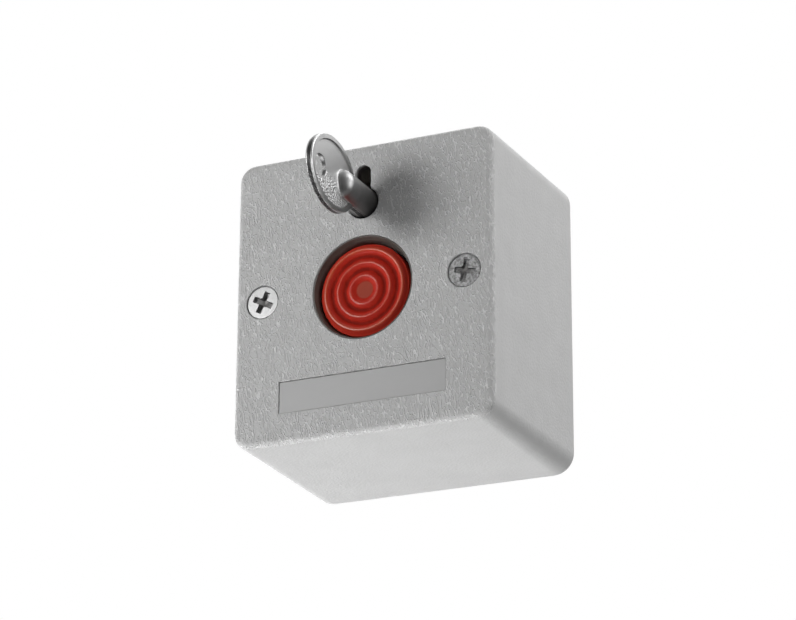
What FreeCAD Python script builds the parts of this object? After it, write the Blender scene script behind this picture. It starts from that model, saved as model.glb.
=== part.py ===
import FreeCAD, Part
import math
import os

# Wireless panic button in a wall box: a red push button that latches when pressed
# and a key that lifts the latch and lets the button come back out.
# X is right as seen from the front, +Y goes into the wall, +Z is up.
# The origin is the middle of the back face, on the wall. All sizes in mm.

V = FreeCAD.Vector

# Housing
WIDTH = 60.0            # at the wall
HEIGHT = 64.6           # at the wall
DEPTH = 41.0            # wall to front face
DRAFT = 0.8             # each side, wall to front face
CORNER_R = 4.5          # depth edges
EDGE_R = 1.3            # rim of the front face
WALL = 2.2              # side walls
FACE = 2.5              # front wall
WALL_GAP = 0.3          # rim to wall
FIT = 0.2               # clearance round what drops in
RUN = 0.05              # radial clearance of what slides or turns

# Front face features
BUTTON_HOLE_R = 11.3
COVER_SCREW_IN = 7.1    # side edge to a cover screw
KEY_DROP = 13.8         # top edge to the keyhole
KEYHOLE_R = 3.43
SLOT_HALF = 1.715       # half width of the keyhole's slot
SLOT_UP = 6.76          # keyhole centre to the centre of the slot's round end
LABEL_HALF = 18.75
LABEL_RISE = 10.75      # bottom edge to the label
LABEL_HIGH = 6.9
LABEL_DEEP = 0.4
LABEL_T = 0.3

# Cover screws, inserts and their posts
SCREW_R = 1.75
HEAD_R = 3.5
HEAD_H = 1.75
HEAD_RIM = 0.25
HEAD_SINK = 0.1
RECESS_W = 1.25
RECESS_SPAN = 4.8
RECESS_DEEP = 1.6
LEFT_TURN = 27.0        # how far each cross recess is turned, degrees
RIGHT_TURN = 13.0
BOSS_WALL = 2.5
BOSS_END = 19.0         # front face to the end of the cover's bosses
INSERT_R = 2.6
INSERT_L = 6.5
SCREW_REACH = 1.8       # screw tip beyond the insert
PILLAR_R = 3.9

# Base plate
BASE_T = 2.5
LIP_T = 1.2
LIP_H = 3.5
WALL_HOLE_IN = 7.4      # side edge to a wall screw
WALL_HOLE_Z = 15.0
WALL_HOLE_R = 2.1
WALL_SEAT_R = 3.6       # shallow seat of a wall screw's head
RIB_T = 1.2
RIB_IN = 8.0            # side edge to a rib of the top and bottom walls
RIB_DROP = 10.3         # top edge to a rib of the side walls

# Circuit board
BOARD_T = 1.6
BOARD_UP = 4.0          # base plate to board
BOARD_MARGIN = 0.6      # round the battery holder
BOARD_GAP = 1.4         # to the pillars
BOARD_DROP = 3.8        # top and bottom edges of the housing to the board
POST_R = 2.6
POST_IN = 3.1           # board's side edge to a post
POST_DROP = 4.0         # board's top edge to a post
POST_RISE = 3.35        # battery holder to the lower posts

# Small thread-forming screws
SMALL_R = 1.0
SMALL_HEAD_R = 1.9
SMALL_HEAD_H = 1.3
SMALL_L = 4.6

# Switch frame
COLLAR_WALL = 1.0
COLLAR_SINK = 0.15
COLLAR_LIP = 0.25       # wall left at the collar's front edge
COLLAR_FLARE = 3.0      # how deep the collar's mouth tapers
FRAME_RISE = 2.5        # front wall to frame plate
FRAME_T = 2.0
FRAME_GAP = 1.45        # to the cover's bosses
FRAME_LOW = -13.8
FRAME_RIM = 9.7         # keyhole centre to the frame's top edge
FRAME_SCREW_IN = 2.7    # frame's edge to a screw
KEY_COLLAR = 1.3        # wall of the frame's collar round the keyhole
CUP_FLOOR_T = 2.4
BRACKET_POST_R = 2.3
BRACKET_POST_OUT = 3.3  # latch to a post
BRACKET_POST_LOW = -5.0
BRACKET_POST_UP = 6.3   # rotor axis to the upper posts
BRACKET_T = 2.0
BRACKET_EDGE = 2.7      # post to the bracket's side edge
BRACKET_LOW = -8.5
BRACKET_RIM = 9.0       # rotor axis to the bracket's top edge

# Button
TRAVEL = 3.5
CAP_GAP = 0.25          # cap to collar
CAP_SINK = 1.0          # front face to the ridges
CAP_LENGTH = 5.5
CAP_WALL = 1.5
RIDGES = (3.1, 5.9, 8.75)
VALLEYS = (1.5, 4.5, 7.3)
RIDGE_H = 0.8
CAP_RIM = 1.05          # outermost ridge to the cap's edge, in depth
HUB_R = 6.2
HUB_L = 6.0
SPIGOT_R = 3.0
STEM_R = 4.5
CLIP_T = 0.8
CLIP_R = 6.2
GROOVE = 0.6
NOTCH = 1.5             # depth of the latch groove
SPRING_R = 7.3
SPRING_WIRE = 0.7
SPRING_TURNS = 4

# Lock
ROTOR_R = 5.0
ROTOR_CAM_HUB = 4.0
JOURNAL_R = 3.5
TURN = 90.0             # key turn, degrees
LIFT = 2.2              # latch lift over that turn
FACE_UP = 4.2           # rotor axis to the latch's flat face at rest
BIT_T = 3.0
BIT_L = 4.1
BIT_BOX_WALL = 1.5
BEARING_WALL = 1.25
LATCH_T = 1.8
LATCH_HALF = 9.2
LATCH_SIDE = 1.9
LATCH_RIM = 6.7         # rotor axis to the latch's top edge
WINDOW_GAP = 2.45       # cam hub to the lower edge of the latch's window
BEAM_T = 1.2
NOSE_HALF = 2.5
RAIL_T = 1.0
LATCH_SPRING_OUT = 3.0  # latch to its spring
LATCH_SPRING_R = 0.95
LATCH_SPRING_WIRE = 0.35
LATCH_SPRING_TURNS = 7
EAR_DROP = 7.6          # rotor axis to the under side of the latch's ear
EAR_T = 1.7
LUG_UP = 2.2            # rotor axis to the bracket's spring lug

# Key
SHAFT_R = 3.2
SHAFT_OUT = 10.5        # front face to the start of its domed end
DOME_H = 2.5
BOW_Y = 15.1            # front face to the middle of the bow
BOW_UP = 0.75           # key axis to the middle of the bow
BOW_RY = 10.05
BOW_RZ = 7.9
BOW_T = 1.6
BOW_WEB = 0.9
BOW_RIM = 1.05
KEY_HOLE_R = 2.35
KEY_HOLE_OUT = 5.3      # beyond the middle of the bow
KEY_HOLE_UP = 0.5

# Press switch, tamper switch
SWITCH_X = 5.0
SWITCH_Z = 4.5
SWITCH_H = 8.0
PLUNGER_R = 2.0
PLUNGER_UP = 4.2
PLUNGER_IN = 2.9
TAMPER_X = 10.0
TAMPER_Z = 14.0
TAMPER_HALF = 3.1
TAMPER_H = 3.2
PIN_R = 1.5
PIN_IN = 1.7
PIN_HOLE_R = 1.8

# Battery and holder
CELL_R = 8.4
CELL_HALF = 17.0
CELL_EDGE = 0.6
CELL_NUB_R = 3.2
CELL_NUB = 0.8
HOLDER_WALL = 1.2
HOLDER_END = 1.7
HOLDER_GAP = 0.15
HOLDER_SLOT_X = 9.0     # openings in the holder's walls, where the cell is pushed out
HOLDER_SLOT_W = 5.0
HOLDER_SLOT_DEEP = 5.0
CONTACT_ROOM = 0.9
CONTACT_T = 0.4
HOLDER_ROOM = 0.75      # holder to the housing's bottom wall at its narrowest

# Board parts
AERIAL_R = 2.6
AERIAL_WIRE = 0.8
AERIAL_TURNS = 6
AERIAL_HALF = 8.0
AERIAL_DROP = 6.5       # board's top edge to the aerial's axis
AERIAL_CLEAR = 0.9
MODULE_W = 15.5
MODULE_H = 9.0
MODULE_T = 0.8
MODULE_IN = 2.6         # board's edge to the module
MODULE_DROP = 4.4       # aerial's axis to the module
CAN_EDGE = 0.8
CAN_T = 2.1
CHIP = 7.0
CHIP_T = 1.2
CHIP_GAP = 6.1          # module to chip
CRYSTAL_W = 5.0
CRYSTAL_H = 3.2
CRYSTAL_T = 1.3
CRYSTAL_GAP = 1.2       # chip to crystal
SWITCH_ROOM = 1.6       # press switch to its neighbours
CAPACITOR_R = 3.15
CAPACITOR_L = 7.5
CAPACITOR_IN = 6.0      # board's edge to the capacitor's axis
CAPACITOR_DROP = 17.8   # aerial's axis to the capacitor's
PASSIVE_L = 2.0
PASSIVE_W = 1.25
PASSIVE_T = 0.6
PASSIVE_PITCH = 2.3

# Levels along Y
FRONT = -DEPTH
INNER = FRONT + FACE
PLATE_Y0 = INNER + FRAME_RISE
PLATE_Y1 = PLATE_Y0 + FRAME_T
CAP_R = BUTTON_HOLE_R - RUN - COLLAR_WALL - CAP_GAP
CAP_FRONT = FRONT + CAP_SINK
CAP_BACK = CAP_FRONT + CAP_LENGTH
HUB_BACK = CAP_FRONT + HUB_L
CAP_UNDER = CAP_FRONT + RIDGE_H + CAP_WALL
CUP_Y0 = CAP_BACK + TRAVEL + 1.0
CUP_Y1 = CUP_Y0 + CUP_FLOOR_T
LATCH_Y0 = CUP_Y1 + 0.4
LATCH_Y1 = LATCH_Y0 + LATCH_T
BRACKET_Y0 = LATCH_Y1 + 0.3
BRACKET_Y1 = BRACKET_Y0 + BRACKET_T
ROTOR_Y0 = PLATE_Y1 + 0.1
BIT_Y0 = ROTOR_Y0 + 0.3
KEY_TIP = BIT_Y0 + BIT_L
BOARD_Y1 = -BASE_T - BOARD_UP
BOARD_Y0 = BOARD_Y1 - BOARD_T
SWITCH_TOP = BOARD_Y0 - SWITCH_H
STEM_END = SWITCH_TOP - PLUNGER_UP - RUN
CLIP_Y0 = BRACKET_Y1 + RUN
PILLAR_Y = FRONT + BOSS_END
CELL_Y = BOARD_Y0 - HOLDER_WALL - HOLDER_GAP - CELL_R
LATCH_LOW = STEM_R + RUN

# Places along X and Z
COVER_SCREW_X = WIDTH / 2 - COVER_SCREW_IN
WALL_HOLE_X = WIDTH / 2 - WALL_HOLE_IN
RIB_X = WIDTH / 2 - RIB_IN
RIB_Z = HEIGHT / 2 - RIB_DROP
KEY_Z = HEIGHT / 2 - KEY_DROP
LABEL_Z = -HEIGHT / 2 + LABEL_RISE
FRAME_HALF = COVER_SCREW_X - SCREW_R - BOSS_WALL - FRAME_GAP
FRAME_TOP = KEY_Z + FRAME_RIM
FRAME_SCREW_X = FRAME_HALF - FRAME_SCREW_IN
FRAME_SCREW_Z = (FRAME_LOW + FRAME_SCREW_IN, KEY_Z)
BRACKET_POST_X = LATCH_HALF + BRACKET_POST_OUT
BRACKET_POST_Z = (BRACKET_POST_LOW, KEY_Z + BRACKET_POST_UP)
BRACKET_HALF = BRACKET_POST_X + BRACKET_EDGE
BRACKET_TOP = KEY_Z + BRACKET_RIM
LATCH_TOP = KEY_Z + LATCH_RIM
LATCH_SPRING_X = LATCH_HALF + LATCH_SPRING_OUT
EAR_LOW = KEY_Z - EAR_DROP
EAR_HIGH = EAR_LOW + EAR_T
LUG_LOW = KEY_Z + LUG_UP
HOLDER_HALF = CELL_HALF + CONTACT_ROOM + HOLDER_END
HOLDER_REACH = CELL_R + HOLDER_GAP + HOLDER_WALL
CELL_Z = -HEIGHT / 2 + WALL + HOLDER_ROOM + HOLDER_REACH
HOLDER_TOP = CELL_Z + HOLDER_REACH
BOARD_LOW_HALF = HOLDER_HALF + BOARD_MARGIN
BOARD_HIGH_HALF = COVER_SCREW_X - PILLAR_R - BOARD_GAP
BOARD_END = HEIGHT / 2 - BOARD_DROP
BOARD_STEP_Z = HOLDER_TOP + BOARD_MARGIN
POST_X = BOARD_HIGH_HALF - POST_IN
POST_Z = (BOARD_END - POST_DROP, HOLDER_TOP + POST_RISE)
AERIAL_Z = BOARD_END - AERIAL_DROP
MODULE_TOP = AERIAL_Z - MODULE_DROP
CHIP_X = -BOARD_HIGH_HALF + MODULE_IN + MODULE_W + CHIP_GAP
BIT_UP = SLOT_UP + BIT_T / 2
CAM_K = LIFT / math.radians(TURN)


# Basic solids: all round ones lie along Y

def cyl(r, y0, y1, x=0.0, z=0.0):
    return Part.makeCylinder(r, y1 - y0, V(x, y0, z), V(0, 1, 0))


def cone(r0, r1, y0, y1, x=0.0, z=0.0):
    return Part.makeCone(r0, r1, y1 - y0, V(x, y0, z), V(0, 1, 0))


def box(x0, x1, y0, y1, z0, z1):
    return Part.makeBox(x1 - x0, y1 - y0, z1 - z0, V(x0, y0, z0))


def tube(ro, ri, y0, y1, x=0.0, z=0.0):
    return cyl(ro, y0, y1, x, z).cut(cyl(ri, y0, y1, x, z))


def fuse(first, *rest):
    solid = first
    for other in rest:
        solid = solid.fuse(other)
    return solid.removeSplitter()


def turned(shape, degrees, x=0.0, z=0.0):
    """The shape turned about a Y axis through (x, z); positive is clockwise from the front."""
    copy = shape.copy()
    copy.rotate(V(x, 0, z), V(0, 1, 0), degrees)
    return copy


def mirrored(shape):
    return shape.mirror(V(0, 0, 0), V(1, 0, 0))


def rounded_wire(hx, hz, r, y, x=0.0, z=0.0):
    """Closed wire of a rounded rectangle in the plane at y."""
    edges = []
    corners = ((hx - r, hz - r, 0), (-(hx - r), hz - r, 90), (-(hx - r), -(hz - r), 180),
               (hx - r, -(hz - r), 270))
    arcs = []
    for cx, cz, start in corners:
        pts = []
        for step in (0, 45, 90):
            a = math.radians(start + step)
            pts.append(V(x + cx + r * math.cos(a), y, z + cz + r * math.sin(a)))
        arcs.append(pts)
    for i, pts in enumerate(arcs):
        edges.append(Part.Arc(*pts).toShape())
        edges.append(Part.makeLine(pts[2], arcs[(i + 1) % 4][0]))
    return Part.Wire(edges)


def rounded_plate(x0, x1, y0, y1, z0, z1, r):
    wire = rounded_wire((x1 - x0) / 2, (z1 - z0) / 2, r, y0, (x0 + x1) / 2, (z0 + z1) / 2)
    return Part.Face(wire).extrude(V(0, y1 - y0, 0))


def drafted(inset, y0, y1):
    """The housing's tapered block, inset from its outside, from y0 to y1."""
    wires = []
    for y in (y0, y1):
        lean = DRAFT * -y / DEPTH
        r = max(CORNER_R - lean - inset, 0.5)
        wires.append(rounded_wire(WIDTH / 2 - lean - inset, HEIGHT / 2 - lean - inset, r, y))
    return Part.makeLoft(wires, True, True)


def keyhole(extra, y0, y1):
    """Keyhole-shaped prism, grown by extra all round."""
    r = KEYHOLE_R + extra
    half = SLOT_HALF + extra
    slot = fuse(box(-half, half, y0, y1, KEY_Z, KEY_Z + SLOT_UP),
                cyl(half, y0, y1, 0, KEY_Z + SLOT_UP))
    return fuse(cyl(r, y0, y1, 0, KEY_Z), slot)


def revolved(points):
    """Solid of revolution about the button's axis from (radius, y) points."""
    pts = [V(r, y, 0) for r, y in points]
    wire = Part.makePolygon(pts + [pts[0]])
    return Part.Face(wire).revolve(V(0, 0, 0), V(0, 1, 0), 360)


def coil(radius, wire, turns, length, axis, start, steps=12):
    """Coil of six-sided wire along a helix of short straights, light enough to mesh and ship."""
    pts = []
    for i in range(turns * steps + 1):
        a = 2 * math.pi * i / steps
        pts.append(V(radius * math.cos(a), radius * math.sin(a), length * i / (turns * steps)))
    along = (pts[1] - pts[0]).normalize()
    out = V(1, 0, 0) - along * along.x
    out.normalize()
    side = along.cross(out)
    corners = []
    for i in range(7):
        a = math.radians(30 + 60 * i)
        corners.append(pts[0] + out * (wire / 2 * math.cos(a)) + side * (wire / 2 * math.sin(a)))
    sweep = Part.BRepOffsetAPI.MakePipeShell(Part.makePolygon(pts))
    sweep.setTransitionMode(1)
    sweep.add(Part.makePolygon(corners))
    sweep.build()
    sweep.makeSolid()
    solid = sweep.shape()
    solid.Placement = FreeCAD.Placement(start, FreeCAD.Rotation(V(0, 0, 1), axis))
    return solid


def small_screw(y, x, z, direction):
    """Thread-forming screw whose head sits on the surface at y; direction is that of its shank."""
    head_end = y - direction * SMALL_HEAD_H
    tip = y + direction * SMALL_L
    head = cyl(SMALL_HEAD_R, min(y, head_end), max(y, head_end), x, z)
    return fuse(head, cyl(SMALL_R, min(y, tip), max(y, tip), x, z))


# Housing and what fixes it

def front_housing():
    outer = drafted(0, FRONT, -WALL_GAP)
    rim = [e for e in outer.Edges if abs(e.BoundBox.YMax - FRONT) < 1e-6]
    body = outer.makeFillet(EDGE_R, rim)
    body = body.cut(drafted(WALL, INNER, 0))
    bore = cyl(BUTTON_HOLE_R, FRONT, INNER)
    added = [tube(BUTTON_HOLE_R + 1.7, BUTTON_HOLE_R, INNER - 0.5, PLATE_Y0)]
    for side in (-1, 1):
        x = side * COVER_SCREW_X
        added.append(cyl(SCREW_R + BOSS_WALL, INNER - 0.5, PILLAR_Y, x).common(drafted(1.0, FRONT, 0)))
        for z in FRAME_SCREW_Z:
            added.append(cyl(2.8, INNER - 0.5, PLATE_Y0, side * FRAME_SCREW_X, z))
    added += wall_ribs()
    for extra in added:
        body = body.fuse(extra)
    body = body.cut(bore)
    rim_y = FRONT + HEAD_SINK + HEAD_RIM
    for side in (-1, 1):
        x = side * COVER_SCREW_X
        body = body.cut(cyl(SCREW_R + 0.15, FRONT, PILLAR_Y, x))
        body = body.cut(cyl(HEAD_R + FIT, FRONT, rim_y, x))
        body = body.cut(cone(HEAD_R + 0.03, SCREW_R + 0.03, rim_y, FRONT + HEAD_SINK + HEAD_H, x))
        for z in FRAME_SCREW_Z:
            pilot = PLATE_Y1 - SMALL_L - 0.2
            body = body.cut(cyl(SMALL_R, pilot, PLATE_Y0, side * FRAME_SCREW_X, z))
    body = body.cut(keyhole(0, FRONT, INNER)).cut(keyhole(KEY_COLLAR + FIT, INNER, PLATE_Y0))
    label = rounded_plate(-LABEL_HALF, LABEL_HALF, FRONT, FRONT + LABEL_DEEP,
                          LABEL_Z - LABEL_HIGH / 2, LABEL_Z + LABEL_HIGH / 2, 0.4)
    return body.cut(label).removeSplitter()


def wall_ribs():
    """Ribs down the inner walls; their ends seat the base plate's lip."""
    ribs = []
    end = -BASE_T - LIP_H
    shell = drafted(WALL - 0.3, INNER, 0)
    room = drafted(WALL + LIP_T + FIT, INNER, 0)
    for x in (-RIB_X, RIB_X):
        ribs.append(box(x - RIB_T / 2, x + RIB_T / 2, INNER - 0.3, end, -HEIGHT / 2, HEIGHT / 2))
    for z in (-RIB_Z, RIB_Z):
        ribs.append(box(-WIDTH / 2, WIDTH / 2, INNER - 0.3, end, z - RIB_T / 2, z + RIB_T / 2))
    return [rib.common(shell).cut(room) for rib in ribs]


def label_strip():
    grow = LABEL_HALF - 0.1
    return rounded_plate(-grow, grow, FRONT + LABEL_DEEP - LABEL_T, FRONT + LABEL_DEEP,
                         LABEL_Z - LABEL_HIGH / 2 + 0.1, LABEL_Z + LABEL_HIGH / 2 - 0.1, 0.3)


def cover_screw(side, turn):
    x = side * COVER_SCREW_X
    y0 = FRONT + HEAD_SINK
    tip = PILLAR_Y + INSERT_L + SCREW_REACH
    head = fuse(cyl(HEAD_R, y0, y0 + HEAD_RIM, x),
                cone(HEAD_R, SCREW_R, y0 + HEAD_RIM, y0 + HEAD_H, x))
    screw = fuse(head, cyl(SCREW_R, y0 + HEAD_H, tip - 1.0, x),
                 cone(SCREW_R, 0.8, tip - 1.0, tip, x))
    wing = box(x - RECESS_SPAN / 2, x + RECESS_SPAN / 2, y0, y0 + 0.4 * RECESS_DEEP,
               -RECESS_W / 2, RECESS_W / 2)
    core = cone(RECESS_SPAN / 2.6, 0.5, y0, y0 + RECESS_DEEP, x)
    tall = box(x - RECESS_SPAN / 2, x + RECESS_SPAN / 2, y0, y0 + RECESS_DEEP,
               -RECESS_W / 2, RECESS_W / 2).common(core)
    cross = fuse(wing, tall)
    for step in (0, 90):
        screw = screw.cut(turned(cross, turn + step, x))
    return screw


def thread_inserts():
    made = []
    for side in (-1, 1):
        x = side * COVER_SCREW_X
        body = cyl(INSERT_R, PILLAR_Y, PILLAR_Y + INSERT_L, x)
        y = PILLAR_Y + INSERT_L / 2
        body = body.cut(tube(INSERT_R + 0.1, INSERT_R - 0.3, y - 0.5, y + 0.5, x))
        made.append(body.cut(cyl(SCREW_R, PILLAR_Y, PILLAR_Y + INSERT_L, x)))
    return Part.makeCompound(made)


def base_plate():
    hx = WIDTH / 2 - WALL - FIT
    hz = HEIGHT / 2 - WALL - FIT
    r = CORNER_R - WALL - FIT
    plate = rounded_plate(-hx, hx, -BASE_T, 0, -hz, hz, r)
    lip = drafted(WALL + FIT, -BASE_T - LIP_H, -BASE_T).cut(
        drafted(WALL + FIT + LIP_T, -BASE_T - LIP_H, -BASE_T))
    solids = [lip]
    for side in (-1, 1):
        solids.append(cyl(PILLAR_R, PILLAR_Y, -BASE_T, side * COVER_SCREW_X))
        for z in POST_Z:
            solids.append(cyl(POST_R, BOARD_Y1, -BASE_T, side * POST_X, z))
        solids.append(cyl(POST_R, BOARD_Y1, -BASE_T, side * POST_X, CELL_Z))
        solids.append(box(side * 5.0 - RIB_T / 2, side * 5.0 + RIB_T / 2, -BASE_T - 1.5, -BASE_T,
                          -hz + LIP_T, hz - LIP_T))
    body = plate
    for extra in solids:
        body = body.fuse(extra)
    tip = PILLAR_Y + INSERT_L + SCREW_REACH
    for side in (-1, 1):
        x = side * COVER_SCREW_X
        body = body.cut(cyl(INSERT_R, PILLAR_Y, PILLAR_Y + INSERT_L, x))
        body = body.cut(cyl(SCREW_R + FIT, PILLAR_Y, tip + 1.0, x))
        for z in POST_Z:
            body = body.cut(cyl(SMALL_R, BOARD_Y1, BOARD_Y0 + SMALL_L + 0.2, side * POST_X, z))
        body = body.cut(wall_hole(side))
    body = body.cut(cyl(PIN_HOLE_R, -BASE_T, 0, TAMPER_X, TAMPER_Z))
    return body.removeSplitter()


def wall_hole(side):
    """Hole for a wall screw, with a shallow seat for its head."""
    x = side * WALL_HOLE_X
    return fuse(cyl(WALL_HOLE_R, -BASE_T, 0, x, WALL_HOLE_Z),
                cyl(WALL_SEAT_R, -BASE_T, -BASE_T + 0.8, x, WALL_HOLE_Z))


# Switch frame, latch bracket and their screws

def switch_frame():
    plate = rounded_plate(-FRAME_HALF, FRAME_HALF, PLATE_Y0, PLATE_Y1, FRAME_LOW, FRAME_TOP, 3.0)
    ro = BUTTON_HOLE_R - RUN
    body = fuse(plate, cyl(ro, FRONT + COLLAR_SINK, CUP_Y1), keyhole(KEY_COLLAR, INNER, PLATE_Y0))
    bearing = cyl(ROTOR_R + RUN + BEARING_WALL, PLATE_Y1, PLATE_Y1 + 4.0, 0, KEY_Z)
    body = body.fuse(bearing.cut(bit_sweep(ROTOR_R + RUN + BEARING_WALL + 1.0)))
    body = body.cut(cyl(ROTOR_R + RUN, PLATE_Y1, CUP_Y1, 0, KEY_Z))
    for side in (-1, 1):
        for z in BRACKET_POST_Z:
            body = body.fuse(cyl(BRACKET_POST_R, PLATE_Y1, BRACKET_Y0, side * BRACKET_POST_X, z))
    body = body.cut(cyl(ro - COLLAR_WALL, FRONT, CUP_Y0))
    mouth = FRONT + COLLAR_SINK
    body = body.cut(cone(ro - COLLAR_LIP, ro - COLLAR_WALL, mouth, mouth + COLLAR_FLARE))
    body = body.cut(cyl(STEM_R + RUN, CUP_Y0, CUP_Y1))
    body = body.cut(keyhole(0.1, INNER, PLATE_Y1))
    for side in (-1, 1):
        for z in FRAME_SCREW_Z:
            body = body.cut(cyl(SMALL_R + 0.2, PLATE_Y0, PLATE_Y1, side * FRAME_SCREW_X, z))
        for z in BRACKET_POST_Z:
            pilot = BRACKET_Y1 - SMALL_L - 0.2
            body = body.cut(cyl(SMALL_R, pilot, BRACKET_Y0, side * BRACKET_POST_X, z))
    return body.removeSplitter()


def bit_sweep(reach):
    """Sector that the rotor's key box sweeps, so the bearing is open there."""
    half = math.degrees(math.asin((BIT_T / 2 + RUN + BIT_BOX_WALL) / ROTOR_R)) + 4.0
    start = 90.0 - TURN - half
    stop = 90.0 + half
    pts = [V(0, PLATE_Y1, KEY_Z)]
    for i in range(5):
        a = math.radians(start + (stop - start) * i / 4)
        far = 1.5 * reach
        pts.append(V(far * math.cos(a), PLATE_Y1, KEY_Z + far * math.sin(a)))
    return Part.Face(Part.makePolygon(pts + [pts[0]])).extrude(V(0, 6.0, 0))


def frame_screws():
    made = []
    for side in (-1, 1):
        for z in FRAME_SCREW_Z:
            made.append(small_screw(PLATE_Y1, side * FRAME_SCREW_X, z, -1))
    return Part.makeCompound(made)


def latch_bracket():
    body = rounded_plate(-BRACKET_HALF, BRACKET_HALF, BRACKET_Y0, BRACKET_Y1,
                         BRACKET_LOW, BRACKET_TOP, 2.0)
    rail = LATCH_HALF + RUN
    front = LATCH_Y0 + 0.1
    low = EAR_HIGH + LIFT + 0.4
    top = BRACKET_POST_Z[1] - BRACKET_POST_R - 0.3
    body = body.fuse(box(-rail - RAIL_T, -rail, front, BRACKET_Y0, 8.0, top))
    body = body.fuse(box(rail, rail + RAIL_T, front, BRACKET_Y0, low, top))
    body = body.fuse(box(rail, LATCH_SPRING_X + 1.6, front, BRACKET_Y0, LUG_LOW, LUG_LOW + 1.4))
    body = body.cut(cyl(STEM_R + RUN, BRACKET_Y0, BRACKET_Y1))
    body = body.cut(cyl(JOURNAL_R + RUN, BRACKET_Y0, BRACKET_Y1, 0, KEY_Z))
    for side in (-1, 1):
        for z in BRACKET_POST_Z:
            body = body.cut(cyl(SMALL_R + 0.2, BRACKET_Y0, BRACKET_Y1, side * BRACKET_POST_X, z))
    return body.removeSplitter()


def bracket_screws():
    made = []
    for side in (-1, 1):
        for z in BRACKET_POST_Z:
            made.append(small_screw(BRACKET_Y1, side * BRACKET_POST_X, z, -1))
    return Part.makeCompound(made)


# Button

def button_cap():
    crest = CAP_FRONT
    low = CAP_FRONT + RIDGE_H
    points = [(0, low - 0.15), (VALLEYS[0], low - 0.15), (RIDGES[0], crest + 0.15),
              (VALLEYS[1], low), (RIDGES[1], crest + 0.1), (VALLEYS[2], low), (RIDGES[2], crest),
              (CAP_R, crest + CAP_RIM), (CAP_R, CAP_BACK), (CAP_R - CAP_WALL, CAP_BACK),
              (CAP_R - CAP_WALL, CAP_UNDER), (HUB_R, CAP_UNDER), (HUB_R, HUB_BACK),
              (SPIGOT_R, HUB_BACK), (SPIGOT_R, CAP_UNDER), (0, CAP_UNDER)]
    return revolved(points)


def button_stem():
    g0 = LATCH_Y0 - 0.15 - TRAVEL
    g1 = LATCH_Y1 + 0.15 - TRAVEL
    c1 = CLIP_Y0 + CLIP_T
    points = [(0, CAP_UNDER + 0.1), (SPIGOT_R, CAP_UNDER + 0.1), (SPIGOT_R, HUB_BACK),
              (STEM_R, HUB_BACK), (STEM_R, g0), (STEM_R - NOTCH, g0), (STEM_R - NOTCH, g1),
              (STEM_R, g1), (STEM_R, CLIP_Y0), (STEM_R - GROOVE, CLIP_Y0), (STEM_R - GROOVE, c1),
              (STEM_R, c1), (STEM_R, STEM_END - 0.6), (STEM_R - 0.6, STEM_END), (0, STEM_END)]
    return revolved(points)


def stem_clip():
    """Open retaining ring in the stem's groove; it stops the button against the bracket."""
    y1 = CLIP_Y0 + CLIP_T
    ring = tube(CLIP_R, STEM_R - GROOVE, CLIP_Y0, y1)
    return ring.cut(box(-2.2, 2.2, CLIP_Y0, y1, -CLIP_R - 1, 0))


def return_spring():
    wire = SPRING_WIRE / 2
    length = CUP_Y0 - CAP_UNDER - SPRING_WIRE
    return coil(SPRING_R, SPRING_WIRE, SPRING_TURNS, length, V(0, 1, 0), V(0, CAP_UNDER + wire, 0))


# Lock

def cam_profile():
    """Involute of a circle of radius CAM_K: a flat face on it rises evenly as the cam turns."""
    phi0 = FACE_UP / CAM_K
    phi1 = phi0 + math.radians(TURN) + 0.04
    turn = math.pi - phi0
    pts = []
    steps = 14
    for i in range(steps + 1):
        phi = phi0 - 0.1 + (phi1 - phi0 + 0.1) * i / steps
        px = CAM_K * (math.cos(phi) + phi * math.sin(phi))
        pz = CAM_K * (math.sin(phi) - phi * math.cos(phi))
        x = px * math.cos(turn) - pz * math.sin(turn)
        z = px * math.sin(turn) + pz * math.cos(turn)
        pts.append(V(x, 0, KEY_Z + z))
    return pts


def cam(y0, y1):
    pts = [V(p.x, y0, p.z) for p in cam_profile()]
    curve = Part.BSplineCurve()
    curve.interpolate(pts)
    centre = V(0, y0, KEY_Z)
    wire = Part.Wire([curve.toShape(), Part.makeLine(pts[-1], centre), Part.makeLine(centre, pts[0])])
    return Part.Face(wire).extrude(V(0, y1 - y0, 0))


def lock_rotor():
    cam_y0 = LATCH_Y0 + 0.1
    cam_y1 = LATCH_Y1 - 0.1
    half = BIT_T / 2 + RUN + BIT_BOX_WALL
    box_top = KEY_Z + BIT_UP + RUN + 1.0
    floor = KEY_TIP + 0.1
    body = fuse(cyl(ROTOR_R, ROTOR_Y0, LATCH_Y0 - 0.1, 0, KEY_Z),
                box(-half, half, ROTOR_Y0, floor + 1.2, KEY_Z, box_top))
    body = fuse(body, cyl(ROTOR_CAM_HUB, LATCH_Y0 - 0.1, cam_y1, 0, KEY_Z), cam(cam_y0, cam_y1))
    body = fuse(body, cyl(JOURNAL_R, cam_y1, BRACKET_Y1 + 0.5, 0, KEY_Z))
    slot = BIT_T / 2 + RUN
    body = body.cut(cyl(SHAFT_R + RUN, ROTOR_Y0, floor, 0, KEY_Z))
    body = body.cut(box(-slot, slot, ROTOR_Y0, floor, KEY_Z, KEY_Z + BIT_UP + 0.1))
    return body.removeSplitter()


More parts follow.
